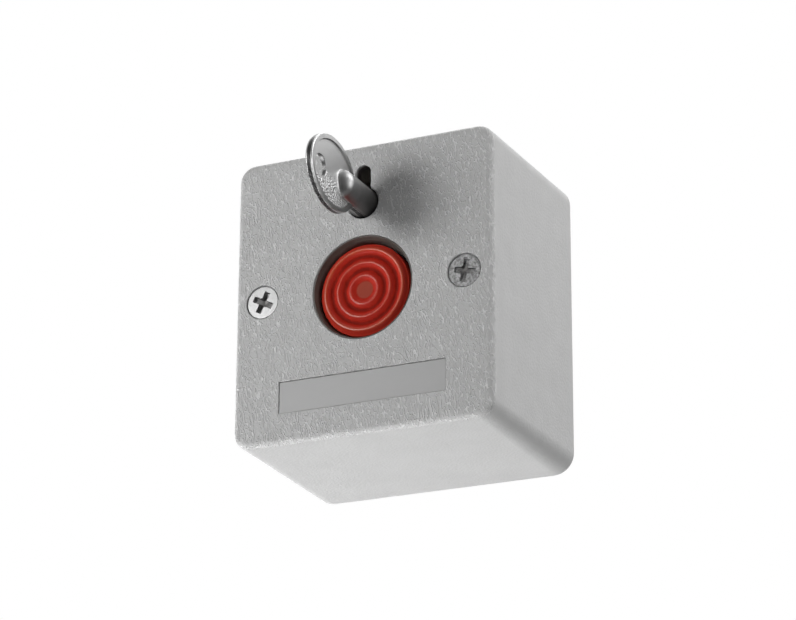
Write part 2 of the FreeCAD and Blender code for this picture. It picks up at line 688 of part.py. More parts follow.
def latch_bar():
    """Flat bar with a window round the cam and a slim beam that carries the nose."""
    beam = LATCH_LOW + 3.4
    slot = beam + BEAM_T
    bridge = slot + NOTCH + 0.3
    window = KEY_Z - ROTOR_CAM_HUB - WINDOW_GAP
    face = KEY_Z + FACE_UP + 0.04
    body = rounded_plate(-LATCH_HALF, LATCH_HALF, LATCH_Y0, LATCH_Y1, beam, LATCH_TOP, 0.6)
    inner = LATCH_HALF - LATCH_SIDE
    body = body.cut(box(-inner, inner, LATCH_Y0, LATCH_Y1, window, face))
    body = body.cut(box(-inner - 0.7, inner + 0.7, LATCH_Y0, LATCH_Y1, slot, bridge))
    body = body.fuse(box(-NOSE_HALF, NOSE_HALF, LATCH_Y0, LATCH_Y1, LATCH_LOW, beam))
    ear = LATCH_SPRING_X + LATCH_SPRING_R + 0.7
    body = body.fuse(box(LATCH_HALF - 0.5, ear, LATCH_Y0, LATCH_Y1, EAR_LOW, EAR_HIGH))
    return body.removeSplitter()


def latch_spring():
    wire = LATCH_SPRING_WIRE / 2
    length = LUG_LOW - EAR_HIGH - LATCH_SPRING_WIRE
    y = (LATCH_Y0 + LATCH_Y1) / 2
    return coil(LATCH_SPRING_R, LATCH_SPRING_WIRE, LATCH_SPRING_TURNS, length, V(0, 0, 1),
                V(LATCH_SPRING_X, y, EAR_HIGH + wire))


def oval(ry, rz, x0, x1):
    """Elliptic disc of the bow, its faces square to X."""
    y = FRONT - BOW_Y
    z = KEY_Z + BOW_UP
    curve = Part.Ellipse(V(0, y - ry, z), V(0, y, z + rz), V(0, y, z))
    disc = Part.Face(Part.Wire(curve.toShape())).extrude(V(x1 - x0, 0, 0))
    disc.translate(V(x0, 0, 0))
    return disc


def reset_key():
    end = FRONT - SHAFT_OUT
    shaft = cyl(SHAFT_R, end, KEY_TIP, 0, KEY_Z)
    pts = [V(0, end, KEY_Z), V(SHAFT_R, end, KEY_Z)]
    mid = math.radians(45)
    arc = Part.Arc(pts[1], V(SHAFT_R * math.cos(mid), end - DOME_H * math.sin(mid), KEY_Z),
                   V(0, end - DOME_H, KEY_Z)).toShape()
    dome_wire = Part.Wire([Part.makeLine(pts[0], pts[1]), arc,
                           Part.makeLine(V(0, end - DOME_H, KEY_Z), pts[0])])
    dome = Part.Face(dome_wire).revolve(V(0, 0, KEY_Z), V(0, 1, 0), 360)
    half = BOW_T / 2
    bow = oval(BOW_RY, BOW_RZ, -half, half)
    for side in (-1, 1):
        pocket = oval(BOW_RY - BOW_RIM, BOW_RZ - BOW_RIM, BOW_WEB / 2, half)
        bow = bow.cut(pocket if side > 0 else mirrored(pocket))
    hole_y = FRONT - BOW_Y - KEY_HOLE_OUT
    hole_z = KEY_Z + KEY_HOLE_UP
    hole = Part.makeCylinder(KEY_HOLE_R, BOW_T, V(-half, hole_y, hole_z), V(1, 0, 0))
    bit = fuse(box(-BIT_T / 2, BIT_T / 2, BIT_Y0, KEY_TIP, KEY_Z, KEY_Z + SLOT_UP),
               cyl(BIT_T / 2, BIT_Y0, KEY_TIP, 0, KEY_Z + SLOT_UP))
    return fuse(shaft, dome, bow, bit).cut(hole)


# Electronics

def circuit_board():
    low = rounded_plate(-BOARD_LOW_HALF, BOARD_LOW_HALF, BOARD_Y0, BOARD_Y1,
                        -BOARD_END, BOARD_STEP_Z, 0.8)
    high = rounded_plate(-BOARD_HIGH_HALF, BOARD_HIGH_HALF, BOARD_Y0, BOARD_Y1,
                         BOARD_STEP_Z - 2.0, BOARD_END, 0.8)
    board = fuse(low, high)
    for side in (-1, 1):
        for z in POST_Z:
            board = board.cut(cyl(SMALL_R + 0.2, BOARD_Y0, BOARD_Y1, side * POST_X, z))
    return board


def board_screws():
    made = []
    for side in (-1, 1):
        for z in POST_Z:
            made.append(small_screw(BOARD_Y0, side * POST_X, z, 1))
    return Part.makeCompound(made)


def press_switch():
    body = box(-SWITCH_X, SWITCH_X, SWITCH_TOP, BOARD_Y0, -SWITCH_Z, SWITCH_Z)
    neck = cyl(PLUNGER_R + 1.2, SWITCH_TOP - 0.5, SWITCH_TOP)
    bore = cyl(PLUNGER_R + RUN, SWITCH_TOP - 0.5, SWITCH_TOP + PLUNGER_IN + TRAVEL + 0.3)
    return fuse(body, neck).cut(bore)


def switch_plunger():
    tip = SWITCH_TOP - PLUNGER_UP
    return fuse(cyl(PLUNGER_R, tip + 0.4, SWITCH_TOP + PLUNGER_IN),
                cone(PLUNGER_R - 0.4, PLUNGER_R, tip, tip + 0.4))


def tamper_switch():
    top = BOARD_Y1 + TAMPER_H
    body = box(TAMPER_X - TAMPER_HALF, TAMPER_X + TAMPER_HALF, BOARD_Y1, top,
               TAMPER_Z - TAMPER_HALF, TAMPER_Z + TAMPER_HALF)
    return body.cut(cyl(PIN_R + RUN, top - PIN_IN - 0.2, top, TAMPER_X, TAMPER_Z))


def tamper_pin():
    top = BOARD_Y1 + TAMPER_H
    return fuse(cyl(PIN_R, top - PIN_IN, -0.4, TAMPER_X, TAMPER_Z),
                cone(PIN_R, PIN_R - 0.35, -0.4, -RUN, TAMPER_X, TAMPER_Z))


def battery():
    x_end = CELL_HALF - CELL_NUB
    body = Part.makeCylinder(CELL_R, CELL_HALF + x_end, V(-CELL_HALF, CELL_Y, CELL_Z), V(1, 0, 0))
    rim = [e for e in body.Edges if e.Curve.TypeId == "Part::GeomCircle"]
    body = body.makeChamfer(CELL_EDGE, rim)
    nub = Part.makeCylinder(CELL_NUB_R, CELL_NUB + 1.0, V(x_end - 1.0, CELL_Y, CELL_Z), V(1, 0, 0))
    return fuse(body, nub)


def battery_holder():
    inside = CELL_HALF + CONTACT_ROOM
    body = box(-HOLDER_HALF, HOLDER_HALF, CELL_Y, BOARD_Y0, CELL_Z - HOLDER_REACH, HOLDER_TOP)
    bore = Part.makeCylinder(CELL_R + HOLDER_GAP, 2 * inside, V(-inside, CELL_Y, CELL_Z), V(1, 0, 0))
    body = body.cut(bore)
    for x in (-HOLDER_SLOT_X, HOLDER_SLOT_X):
        body = body.cut(box(x - HOLDER_SLOT_W / 2, x + HOLDER_SLOT_W / 2, CELL_Y,
                            CELL_Y + HOLDER_SLOT_DEEP, CELL_Z - HOLDER_REACH, HOLDER_TOP))
    return body


def battery_contacts():
    """Sheet contacts in the holder's ends, each with a raised spring dome at the cell's axis."""
    inside = CELL_HALF + CONTACT_ROOM
    made = []
    for side in (-1, 1):
        x0 = side * inside
        x1 = side * (inside - CONTACT_T)
        plate = box(min(x0, x1), max(x0, x1), CELL_Y, BOARD_Y0 - HOLDER_WALL - 1.6,
                    CELL_Z - 4.5, CELL_Z + 4.5)
        dome = Part.makeCone(3.0, 2.0, CONTACT_ROOM - CONTACT_T, V(x1, CELL_Y, CELL_Z), V(-side, 0, 0))
        room = box(min(x0, x1) - 2, max(x0, x1) + 2, CELL_Y - 3.2, BOARD_Y0, CELL_Z - 5, CELL_Z + 5)
        disc = Part.makeCylinder(3.2, CONTACT_T, V(x0, CELL_Y, CELL_Z), V(-side, 0, 0)).common(room)
        made.append(fuse(plate, disc, dome))
    return Part.makeCompound(made)


def radio_module():
    """Small card with a screening can on it."""
    x0 = -BOARD_HIGH_HALF + MODULE_IN
    y = BOARD_Y0 - MODULE_T
    low = MODULE_TOP - MODULE_H
    card = box(x0, x0 + MODULE_W, y, BOARD_Y0, low, MODULE_TOP)
    can = box(x0 + CAN_EDGE, x0 + MODULE_W - CAN_EDGE, y - CAN_T, y, low + CAN_EDGE, MODULE_TOP - CAN_EDGE)
    return fuse(card, can)


def controller_chip():
    bottom = MODULE_TOP - CHIP
    return rounded_plate(CHIP_X, CHIP_X + CHIP, BOARD_Y0 - CHIP_T, BOARD_Y0, bottom, MODULE_TOP, 0.3)


def crystal():
    top = MODULE_TOP - CHIP - CRYSTAL_GAP
    right = CHIP_X + CRYSTAL_W
    return rounded_plate(CHIP_X, right, BOARD_Y0 - CRYSTAL_T, BOARD_Y0, top - CRYSTAL_H, top, 0.4)


def capacitor():
    x = -BOARD_HIGH_HALF + CAPACITOR_IN
    z = AERIAL_Z - CAPACITOR_DROP
    body = cyl(CAPACITOR_R, BOARD_Y0 - CAPACITOR_L, BOARD_Y0, x, z)
    crimp = tube(CAPACITOR_R + 0.1, CAPACITOR_R - 0.2, BOARD_Y0 - 2.0, BOARD_Y0 - 1.4, x, z)
    return body.cut(crimp)


def board_passives():
    """Chip parts in a column at each side of the press switch."""
    made = []
    for side, count in ((-1, 2), (1, 3)):
        x = side * (SWITCH_X + SWITCH_ROOM + PASSIVE_W / 2)
        for i in range(count):
            z = -SWITCH_Z + PASSIVE_L / 2 + i * PASSIVE_PITCH
            made.append(box(x - PASSIVE_W / 2, x + PASSIVE_W / 2, BOARD_Y0 - PASSIVE_T, BOARD_Y0,
                            z - PASSIVE_L / 2, z + PASSIVE_L / 2))
    return Part.makeCompound(made)


def aerial():
    """Helical aerial lying above the board, with one leg down to it."""
    y = BOARD_Y0 - AERIAL_CLEAR - AERIAL_R
    wire = coil(AERIAL_R, AERIAL_WIRE, AERIAL_TURNS, 2 * AERIAL_HALF, V(1, 0, 0),
                V(-AERIAL_HALF, y, AERIAL_Z))
    start = wire.Vertexes[0].Point
    leg = cyl(AERIAL_WIRE / 2 - 0.1, start.y, BOARD_Y0, start.x + 0.1, start.z)
    return wire.fuse(leg)


NODES = {
    "front_housing": front_housing,
    "label_strip": label_strip,
    "cover_screw_left": lambda: cover_screw(-1, LEFT_TURN),
    "cover_screw_right": lambda: cover_screw(1, RIGHT_TURN),
    "thread_inserts": thread_inserts,
    "base_plate": base_plate,
    "switch_frame": switch_frame,
    "frame_screws": frame_screws,
    "latch_bracket": latch_bracket,
    "bracket_screws": bracket_screws,
    "button_cap": button_cap,
    "button_stem": button_stem,
    "stem_clip": stem_clip,
    "return_spring": return_spring,
    "lock_rotor": lock_rotor,
    "latch_bar": latch_bar,
    "latch_spring": latch_spring,
    "reset_key": reset_key,
    "circuit_board": circuit_board,
    "board_screws": board_screws,
    "press_switch": press_switch,
    "switch_plunger": switch_plunger,
    "tamper_switch": tamper_switch,
    "tamper_pin": tamper_pin,
    "battery": battery,
    "battery_holder": battery_holder,
    "battery_contacts": battery_contacts,
    "radio_module": radio_module,
    "controller_chip": controller_chip,
    "crystal": crystal,
    "capacitor": capacitor,
    "board_passives": board_passives,
    "aerial": aerial,
}

os.makedirs("parts", exist_ok=True)
for name, build in NODES.items():
    shape = build()
    shape.exportStep("parts/" + name + ".step")
    print(name, len(shape.Solids), round(shape.Volume, 1), shape.isValid())
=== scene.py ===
"""Wall box of a wireless panic button: its looks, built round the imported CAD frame, in metres."""
import math

import bpy
import numpy as np
from bpy.props import FloatProperty, PointerProperty, StringProperty
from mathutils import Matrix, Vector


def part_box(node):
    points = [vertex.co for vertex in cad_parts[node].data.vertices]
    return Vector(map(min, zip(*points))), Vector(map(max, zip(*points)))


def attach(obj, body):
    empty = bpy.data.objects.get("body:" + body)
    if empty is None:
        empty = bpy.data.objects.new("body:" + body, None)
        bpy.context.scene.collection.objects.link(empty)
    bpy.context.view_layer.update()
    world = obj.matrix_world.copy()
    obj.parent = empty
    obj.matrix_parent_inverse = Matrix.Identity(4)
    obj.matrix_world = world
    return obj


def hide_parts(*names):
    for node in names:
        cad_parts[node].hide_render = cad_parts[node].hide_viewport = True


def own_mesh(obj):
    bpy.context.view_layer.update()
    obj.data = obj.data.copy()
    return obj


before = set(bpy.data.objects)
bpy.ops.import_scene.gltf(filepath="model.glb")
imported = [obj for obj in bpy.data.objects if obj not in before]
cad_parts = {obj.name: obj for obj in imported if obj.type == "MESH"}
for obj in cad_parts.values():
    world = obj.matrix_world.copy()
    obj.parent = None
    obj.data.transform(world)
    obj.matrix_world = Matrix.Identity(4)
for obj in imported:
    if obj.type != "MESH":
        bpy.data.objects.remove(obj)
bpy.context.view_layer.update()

bl_info = {
    "name": "Panic button wall box",
    "version": (1, 0, 0),
    "blender": (4, 5, 0),
    "location": "View3D > Sidebar > Panic button",
    "description": "Builds the housing, button, key, screws and inner parts of a panic button",
    "category": "Object",
}

MM = 0.001


def corner(name, high, axis):
    """One coordinate of a CAD node's box, in millimetres."""
    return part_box(name)[high][axis] / MM


def middle(name, axis):
    """The middle of a CAD node's box along one axis, in millimetres."""
    return (corner(name, 0, axis) + corner(name, 1, axis)) / 2


# Sizes in millimetres that the frame gives
FRONT = corner("front_housing", 0, 1)
WIDE = corner("front_housing", 1, 0)         # half width at the wall
HIGH = corner("front_housing", 1, 2)         # half height at the wall
RIM_Y = corner("front_housing", 1, 1)
LEFT_X = middle("cover_screw_left", 0)
RIGHT_X = middle("cover_screw_right", 0)
SCREW_TIP = corner("cover_screw_left", 1, 1)
HEAD_R = (corner("cover_screw_left", 1, 0) - corner("cover_screw_left", 0, 0)) / 2
CAP_R = corner("button_cap", 1, 0)
CAP_FRONT = corner("button_cap", 0, 1)
KEY_TIP = corner("reset_key", 1, 1)
LABEL_X, LABEL_Z = corner("label_strip", 1, 0), middle("label_strip", 2)
LABEL_HALF = (corner("label_strip", 1, 2) - corner("label_strip", 0, 2)) / 2
LABEL_FACE, LABEL_BACK = corner("label_strip", 0, 1), corner("label_strip", 1, 1)

# Sizes in millimetres that repeat the CAD part's
DRAFT, CORNER_R, EDGE_R, WALL, FACE = 0.8, 4.5, 1.3, 2.2, 2.5
DEPTH = -FRONT
BORE_R = 11.3
KEY_Z, KEYHOLE_R, SLOT_HALF, SLOT_UP = 18.5, 3.43, 1.715, 6.76
SHAFT_R, DOME_H = 3.2, 2.5
SHAFT_END = FRONT - 10.5
BOW_Y, BOW_Z = FRONT - 15.1, KEY_Z + 0.75
BOW_RY, BOW_RZ, BOW_T, BOW_WEB, BOW_RIM = 10.05, 7.9, 1.6, 0.9, 1.05
HOLE_R, HOLE_Y, HOLE_Z = 2.35, FRONT - 20.4, KEY_Z + 0.5
BIT_T, BIT_L = 3.0, 4.1
SCREW_R, HEAD_H = 1.75, 1.75
INSERT_Y = FRONT + 19.0
CAP_L, CAP_WALL, HUB_R, SPIGOT_R = 5.5, 1.5, 6.2, 3.0
RIDGES, VALLEYS, RIDGE_H, CAP_RIM = (3.1, 5.9, 8.75), (4.5, 7.3), 0.8, 1.05
RETURN_R, RETURN_TURNS, RETURN_WIRE = 7.3, 4, 0.35      # wires are given by their radius
LATCH_R, LATCH_TURNS, LATCH_WIRE = 0.95, 7, 0.175
WIDE_0 = WIDE + DRAFT * -RIM_Y / DEPTH       # half sizes in the wall's plane
HIGH_0 = HIGH + DRAFT * -RIM_Y / DEPTH

# Sizes in millimetres of what only the looks have
CAP_SLIP = (-0.15, -0.16)       # the loose cap hangs a little low and to the left in the collar
DISH_R, DISH_H = 1.7, 0.15      # flat floor inside the first ridge, and its height over the valleys
SEAT_ROOM, SEAT_SLIP, SEAT_WALL, SEAT_DEPTH, SHANK_ROOM = 0.17, 0.09, 0.4, 2.0, 0.15
LABEL_ROOM, LABEL_RIM, LABEL_SLIP = 0.1, 0.07, 0.06
LABEL_CORNER, STRIP_CORNER = 0.2, 0.12      # corners of the label's recess and of the strip
BACK_EDGE, CAP_EDGE = 0.25, 0.3             # roundings of the housing's and the cap's edges
RECESS_HALF, RECESS_W = 2.4, 1.25
HEAD_SINK = 0.1                 # front face to the screws' faces
THREAD_PITCH, THREAD_H = 0.6, 0.22

# Area lamps that point at the origin: name, degrees to the right of straight in front, degrees up,
# metres away, metres wide, watts
LAMPS = (
    ("left_softbox", -32.0, 7.0, 0.45, 0.18, 1.09),
    ("low_left_softbox", -90.0, -50.0, 0.50, 0.30, 2.25),
    ("low_softbox", -60.0, -65.0, 0.50, 0.30, 0.8),
    ("right_softbox", 80.0, 5.0, 0.50, 0.30, 0.93),
    ("high_right_softbox", 95.0, 50.0, 0.50, 0.30, 1.55),
    ("top_fill", -150.0, 62.0, 0.55, 0.30, 0.8),
    ("rear_fill", -170.0, 10.0, 0.60, 0.40, 2.0),
)


# Colour

def linear(code):
    """Linear RGBA of an sRGB hex colour."""
    channels = [int(code[i:i + 2], 16) / 255 for i in (1, 3, 5)]
    return [c / 12.92 if c <= 0.04045 else ((c + 0.055) / 1.055) ** 2.4 for c in channels] + [1.0]


def settings():
    """The sizes and colours that a user would change."""
    return bpy.context.scene.panic_button


# Surfaces

def ring_faces(rows, around):
    """Quads between neighbouring rings of a rows by around grid that closes on itself."""
    i = np.arange(rows - 1)[:, None] * around
    j = np.arange(around)[None, :]
    k = (j + 1) % around
    return np.stack([i + j, i + k, i + around + k, i + around + j], -1).reshape(-1, 4)


def skin(rings, closed=False):
    """Closed surface through rings of points: a pole closes each end, or the last ring meets the
    first."""
    rows, around = rings.shape[:2]
    points = rings.reshape(-1, 3)
    if closed:
        quads = ring_faces(rows + 1, around) % (rows * around)
        return points, quads.tolist()
    quads = ring_faces(rows, around).tolist()
    first, last = len(points), len(points) + 1
    j = np.arange(around)
    k = (j + 1) % around
    top = np.stack([np.full(around, first), k, j], -1).tolist()
    base = (rows - 1) * around
    low = np.stack([np.full(around, last), base + j, base + k], -1).tolist()
    ends = np.stack([rings[0].mean(0), rings[-1].mean(0)])
    return np.concatenate([points, ends]), quads + top + low


def outward(points, faces):
    """The faces, all turned round if the volume they close is negative."""
    fan = np.array([(f[0], f[i], f[i + 1]) for f in faces for i in range(1, len(f) - 1)])
    a, b, c = points[fan[:, 0]], points[fan[:, 1]], points[fan[:, 2]]
    if np.einsum("ij,ij->i", a, np.cross(b, c)).sum() < 0:
        return [f[::-1] for f in faces]
    return faces


def mesh_object(name, surfaces, sharp=32):
    """One object from closed surfaces in millimetres, smooth but for edges over the sharp angle."""
    points, faces, start = [], [], 0
    for p, f in surfaces:
        points.append(p)
        faces += [[i + start for i in face] for face in outward(p, f)]
        start += len(p)
    mesh = bpy.data.meshes.new(name)
    mesh.from_pydata((np.concatenate(points) * MM).tolist(), [], faces)
    mesh.shade_smooth()
    mesh.set_sharp_from_angle(angle=math.radians(sharp))
    piece = bpy.data.objects.new(name, mesh)
    bpy.context.scene.collection.objects.link(piece)
    return piece


def baked(piece, sharp=32):
    """Applies the piece's modifiers."""
    graph = bpy.context.evaluated_depsgraph_get()
    mesh = bpy.data.meshes.new_from_object(piece.evaluated_get(graph))
    piece.modifiers.clear()
    piece.data = mesh
    mesh.shade_smooth()
    mesh.set_sharp_from_angle(angle=math.radians(sharp))


def cut(piece, cutters):
    """Takes each closed surface out of the piece, by exact booleans."""
    for i, shape in enumerate(cutters):
        tool = mesh_object("cutter_" + str(i), [shape])
        step = piece.modifiers.new("cut", "BOOLEAN")
        step.operation = "DIFFERENCE"
        step.solver = "EXACT"
        step.object = tool
        baked(piece)
        bpy.data.objects.remove(tool)


def weighted(piece, bevel=None):
    """Adds small rounded edges, and normals that keep the large flat faces flat."""
    if bevel:
        edge = piece.modifiers.new("edges", "BEVEL")
        edge.width = bevel * MM
        edge.segments = 2
        edge.limit_method = "ANGLE"
        edge.angle_limit = math.radians(38)
    flat = piece.modifiers.new("flat", "WEIGHTED_NORMAL")
    flat.keep_sharp = True
    flat.weight = 80
    return piece


def turned(radius, depth, x=0.0, z=0.0, around=128):
    """Surface of revolution about a Y axis: rings of the given radii at the given depths.
    Radius and depth are one number per ring, or one row per ring where they vary round it."""
    radius, depth = np.atleast_1d(radius), np.atleast_1d(depth)
    if radius.ndim == 1:
        radius = np.repeat(radius[:, None], around, 1)
    if depth.ndim == 1:
        depth = np.repeat(depth[:, None], around, 1)
    a = 2 * np.pi * np.arange(radius.shape[1]) / radius.shape[1]
    return skin(np.stack([x + radius * np.cos(a), depth, z + radius * np.sin(a)], -1))


def quarter(r0, y0, r1, y1, steps=5):
    """Quarter of an ellipse from (r0, y0), where it runs along r, to (r1, y1), where it runs
    along y: r goes with the sine of the angle, and y with one less its cosine."""
    a = np.radians(np.linspace(0, 90, steps))
    return r0 + (r1 - r0) * np.sin(a), y0 + (y1 - y0) * (1 - np.cos(a))


def rounded_outline(half_x, half_z, radius, steps=10):
    """Rounded rectangle about the origin: four quarter circles joined by straights."""
    a = np.radians(np.linspace(0, 90, steps))
    corners = []
    for turn, sx, sz in ((0, 1, 1), (90, -1, 1), (180, -1, -1), (270, 1, -1)):
        t = a + math.radians(turn)
        corners.append(np.stack([sx * (half_x - radius) + radius * np.cos(t),
                                 sz * (half_z - radius) + radius * np.sin(t)], -1))
    return np.concatenate(corners)


def keyhole_outline(grow, steps=24):
    """Circle with a round-ended slot above it, both grown outwards by the same amount."""
    r, half = KEYHOLE_R + grow, SLOT_HALF + grow
    meet = math.acos(half / r)
    a = np.linspace(math.pi - meet, 2 * math.pi + meet, 3 * steps)
    b = np.linspace(0, math.pi, steps)
    circle = np.stack([r * np.cos(a), KEY_Z + r * np.sin(a)], -1)
    top = np.stack([half * np.cos(b), KEY_Z + SLOT_UP + half * np.sin(b)], -1)
    return np.concatenate([circle, top])


def along_y(outlines, depths):
    """Closed prism along Y through outlines of as many points each, at the given depths."""
    rings = [np.insert(o, 1, d, axis=1) for o, d in zip(outlines, depths)]
    return skin(np.stack(rings))


def tube(path, radius, around=10):
    """Round tube along a path: each ring lies across the path's tangent there."""
    tangent = np.gradient(path, axis=0)
    tangent /= np.linalg.norm(tangent, axis=1)[:, None]
    side = np.cross(tangent, np.array([0.0, 0.0, 1.0]) + 1e-3)
    side /= np.linalg.norm(side, axis=1)[:, None]
    other = np.cross(tangent, side)
    a = 2 * np.pi * np.arange(around) / around
    return skin(path[:, None] + radius * (np.cos(a)[None, :, None] * side[:, None]
                                          + np.sin(a)[None, :, None] * other[:, None]))


def helix(coil_r, turns, start, length, axis, steps=32):
    """Points of a helix of even pitch about the named axis, from its start centre."""
    t = np.linspace(0, turns, turns * steps + 1)
    a = 2 * np.pi * t
    u, v, w = coil_r * np.cos(a), coil_r * np.sin(a), length * t / turns
    order = {"Y": (v, w, u), "Z": (u, v, w)}[axis]
    return np.stack(order, -1) + np.array(start)


def joined_copy(name, node_name, bevel):
    """A CAD node's shape with its loose triangles merged, for smooth shading and rounded edges."""
    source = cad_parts[node_name]
    mesh = source.data.copy()
    mesh.name = name
    mesh.materials.clear()
    piece = bpy.data.objects.new(name, mesh)
    bpy.context.scene.collection.objects.link(piece)
    weld = piece.modifiers.new("weld", "WELD")
    weld.merge_threshold = 0.002 * MM
    flat = piece.modifiers.new("flat", "DECIMATE")
    flat.decimate_type = "DISSOLVE"
    flat.angle_limit = math.radians(0.4)
    baked(piece, 30)
    return weighted(piece, bevel)


def place(piece, body, slot, material, *nodes):
    """Gives the piece its material and its body, and hides the CAD nodes it stands for. The finish
    slot is not used.
    """
    piece.data.materials.clear()
    piece.data.materials.append(material)
    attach(piece, body)
    if nodes:
        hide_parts(*nodes)


# Materials

def node(tree, kind, values=None, stops=(), **links):
    """Adds a shader node with its settings and input values, and a colour ramp's stops as
    (position, hex colour). Each link feeds an input, by its name or as i0, i1 and so on, from a
    socket or from a node's first output."""
    made = tree.nodes.new("ShaderNode" + kind)
    for key, value in (values or {}).items():
        if isinstance(key, int) or key in made.inputs:
            made.inputs[key].default_value = value
        else:
            setattr(made, key, value)
    if stops:
        points = made.color_ramp.elements
        points.remove(points[1])
        points[0].position, points[0].color = stops[0][0], linear(stops[0][1])
        for position, code in stops[1:]:
            points.new(position).color = linear(code)
    for key, source in links.items():
        output = source if isinstance(source, bpy.types.NodeSocket) else source.outputs[0]
        numbered = key[0] == "i" and key[1:].isdigit()
        tree.links.new(output, made.inputs[int(key[1:]) if numbered else key])
    return made


def new_material(name):
    """An empty material, its node tree, and the place on the object that its patterns read."""
    made = bpy.data.materials.new(name)
    made.use_nodes = True
    tree = made.node_tree
    tree.nodes.clear()
    return made, tree, node(tree, "TexCoord").outputs["Object"]


def darkened(tree, colour, where, y0, y1, code):
    """The colour, multiplied by a darker one as Y goes from y0 to y1: dust in the screws' recesses,
    painted shade on the openings' walls and the key's shaft, and, over a pale colour, painted light
    deep in the collar's bore.
    """
    y = node(tree, "SeparateXYZ", Vector=where).outputs["Y"]
    depth = node(tree, "MapRange", {"From Min": y0 * MM, "From Max": y1 * MM}, Value=y)
    return node(tree, "MixRGB", {"blend_type": "MULTIPLY", "Color2": linear(code)},
                Color1=colour, Fac=depth)


def surface(name, dark, light, spots, roughness, metallic=0.0, bumps=(), coat=0.0, dust_and_painted_light=None):
    """Plain finish: two close colours in soft clouds, uneven gloss, and bumps of real size.
    spots is the clouds' size in mm, roughness its lowest and highest value, each bump is
    (size in mm, height in mm), and dust_and_painted_light is what darkened() takes: dust in the
    screws' recesses, and painted light deep in the collar's bore. It dulls metal too."""
    made, tree, where = new_material(name)
    cloud = node(tree, "TexNoise", {"Scale": 1 / (spots * MM), "Detail": 3.0}, Vector=where)
    gloss = node(tree, "MapRange", {
        "From Min": 0.3, "From Max": 0.7, "To Min": roughness[0], "To Max": roughness[1]},
        Value=cloud)
    colour = node(tree, "ValToRGB", stops=((0.35, dark), (0.65, light)), Fac=cloud)
    links = {"Roughness": gloss}
    if dust_and_painted_light:
        colour = darkened(tree, colour, where, *dust_and_painted_light)
    if dust_and_painted_light and metallic:
        y = node(tree, "SeparateXYZ", Vector=where).outputs["Y"]
        links["Metallic"] = node(tree, "MapRange", {
            "From Min": dust_and_painted_light[0] * MM, "From Max": dust_and_painted_light[1] * MM,
            "To Min": metallic, "To Max": 0.3}, Value=y)
    for size, height in bumps:
        grain = node(tree, "TexNoise", {"Scale": 1 / (size * MM), "Detail": 2.0}, Vector=where)
        under = {"Normal": links["Normal"]} if "Normal" in links else {}
        links["Normal"] = node(tree, "Bump", {"Distance": height * MM}, Height=grain, **under)
    shader = node(tree, "BsdfPrincipled", {"Metallic": metallic, "Coat Weight": coat},
                  **{"Base Color": colour}, **links)
    node(tree, "OutputMaterial", Surface=shader)
    return made


def leather_grained_abs():
    """ABS moulded in an etched tool: on the front, leather grain of short ridges about 0.3 mm wide
    and 1 mm long that lean to the left, and finer grain on the sides. A dry grey; the front is
    painted a little paler as painted light, and sparse pale dashes on the ridges' tops are painted
    highlights.
    A ridge runs where a stretched, leaning noise crosses its middle value."""
    made, tree, where = new_material("leather_grained_abs")
    sway = node(tree, "TexNoise", {"Scale": 1 / (2.6 * MM), "Detail": 1.0}, Vector=where)
    swayed = node(tree, "VectorMath", {"operation": "MULTIPLY_ADD", 1: (0.5 * MM,) * 3},
                  i0=sway.outputs["Color"], i2=where)
    lean = node(tree, "Mapping", {
        "vector_type": "TEXTURE", "Rotation": (0, math.radians(-12), 0), "Scale": (1.0, 1.0, 3.1)},
        Vector=swayed)
    ridge = node(tree, "TexNoise", {"Scale": 1 / (0.56 * MM), "Detail": 0.6}, Vector=lean)
    level = node(tree, "Math", {"operation": "SUBTRACT", 1: 0.52}, i0=ridge)
    off = node(tree, "Math", {"operation": "ABSOLUTE"}, i0=level)
    dash = node(tree, "MapRange", {
        "interpolation_type": "SMOOTHSTEP", "From Min": 0.07, "From Max": 0.0}, Value=off)
    fine = node(tree, "TexNoise", {"Scale": 1 / (0.55 * MM), "Detail": 1.0}, Vector=where)
    at = node(tree, "SeparateXYZ", Vector=where).outputs
    front = node(tree, "MapRange", {
        "interpolation_type": "SMOOTHSTEP", "From Min": (FRONT + 1.5) * MM,
        "From Max": (FRONT + 0.7) * MM}, Value=at["Y"])
    height = node(tree, "Math", {"operation": "MULTIPLY"}, i0=dash, i1=front)
    deep = node(tree, "Bump", {"Distance": 0.11 * MM}, Height=height)
    both = node(tree, "Bump", {"Distance": 0.1 * MM}, Height=fine, Normal=deep)
    cloud = node(tree, "TexNoise", {"Scale": 1 / (6 * MM), "Detail": 4.0}, Vector=where)
    dust = node(tree, "ValToRGB", Fac=cloud, stops=(
        (0.3, settings().housing_dark), (0.7, settings().housing_light)))
    # Painted highlights: the ridges' tops, and faintly the whole front, are mixed towards a pale
    # grey
    worn = node(tree, "Math", {"operation": "MULTIPLY", 1: 0.72}, i0=height)
    paler = node(tree, "Math", {"operation": "MULTIPLY_ADD", 1: 0.1}, i0=front, i2=worn)
    tint = node(tree, "MixRGB", {"Color2": linear("#E2E2E2")}, Color1=dust, Fac=paler)
    inner = []      # painted shade, with a little dust: the openings' walls darken inwards, not the housing's edges
    for axis, reach in (("X", WIDE - 5), ("Z", HIGH - 4)):
        size = node(tree, "Math", {"operation": "ABSOLUTE"}, i0=at[axis])
        inner.append(node(tree, "Math", {"operation": "LESS_THAN", 1: reach * MM}, i0=size))
    inner = node(tree, "Math", {"operation": "MULTIPLY"}, i0=inner[0], i1=inner[1])
    # Painted shade: the walls' colour darkens from the front inwards
    walls = darkened(tree, tint, where, FRONT + 0.3, FRONT + 1.2, "#8C8482")
    tint = node(tree, "MixRGB", Color1=tint, Color2=walls, Fac=inner)
    gloss = node(tree, "MapRange", {
        "From Min": 0.3, "From Max": 0.7, "To Min": 0.5, "To Max": 0.62}, Value=fine)
    shader = node(tree, "BsdfPrincipled", {"IOR": 1.5}, Roughness=gloss, Normal=both,
                  **{"Base Color": tint})
    node(tree, "OutputMaterial", Surface=shader)
    return made


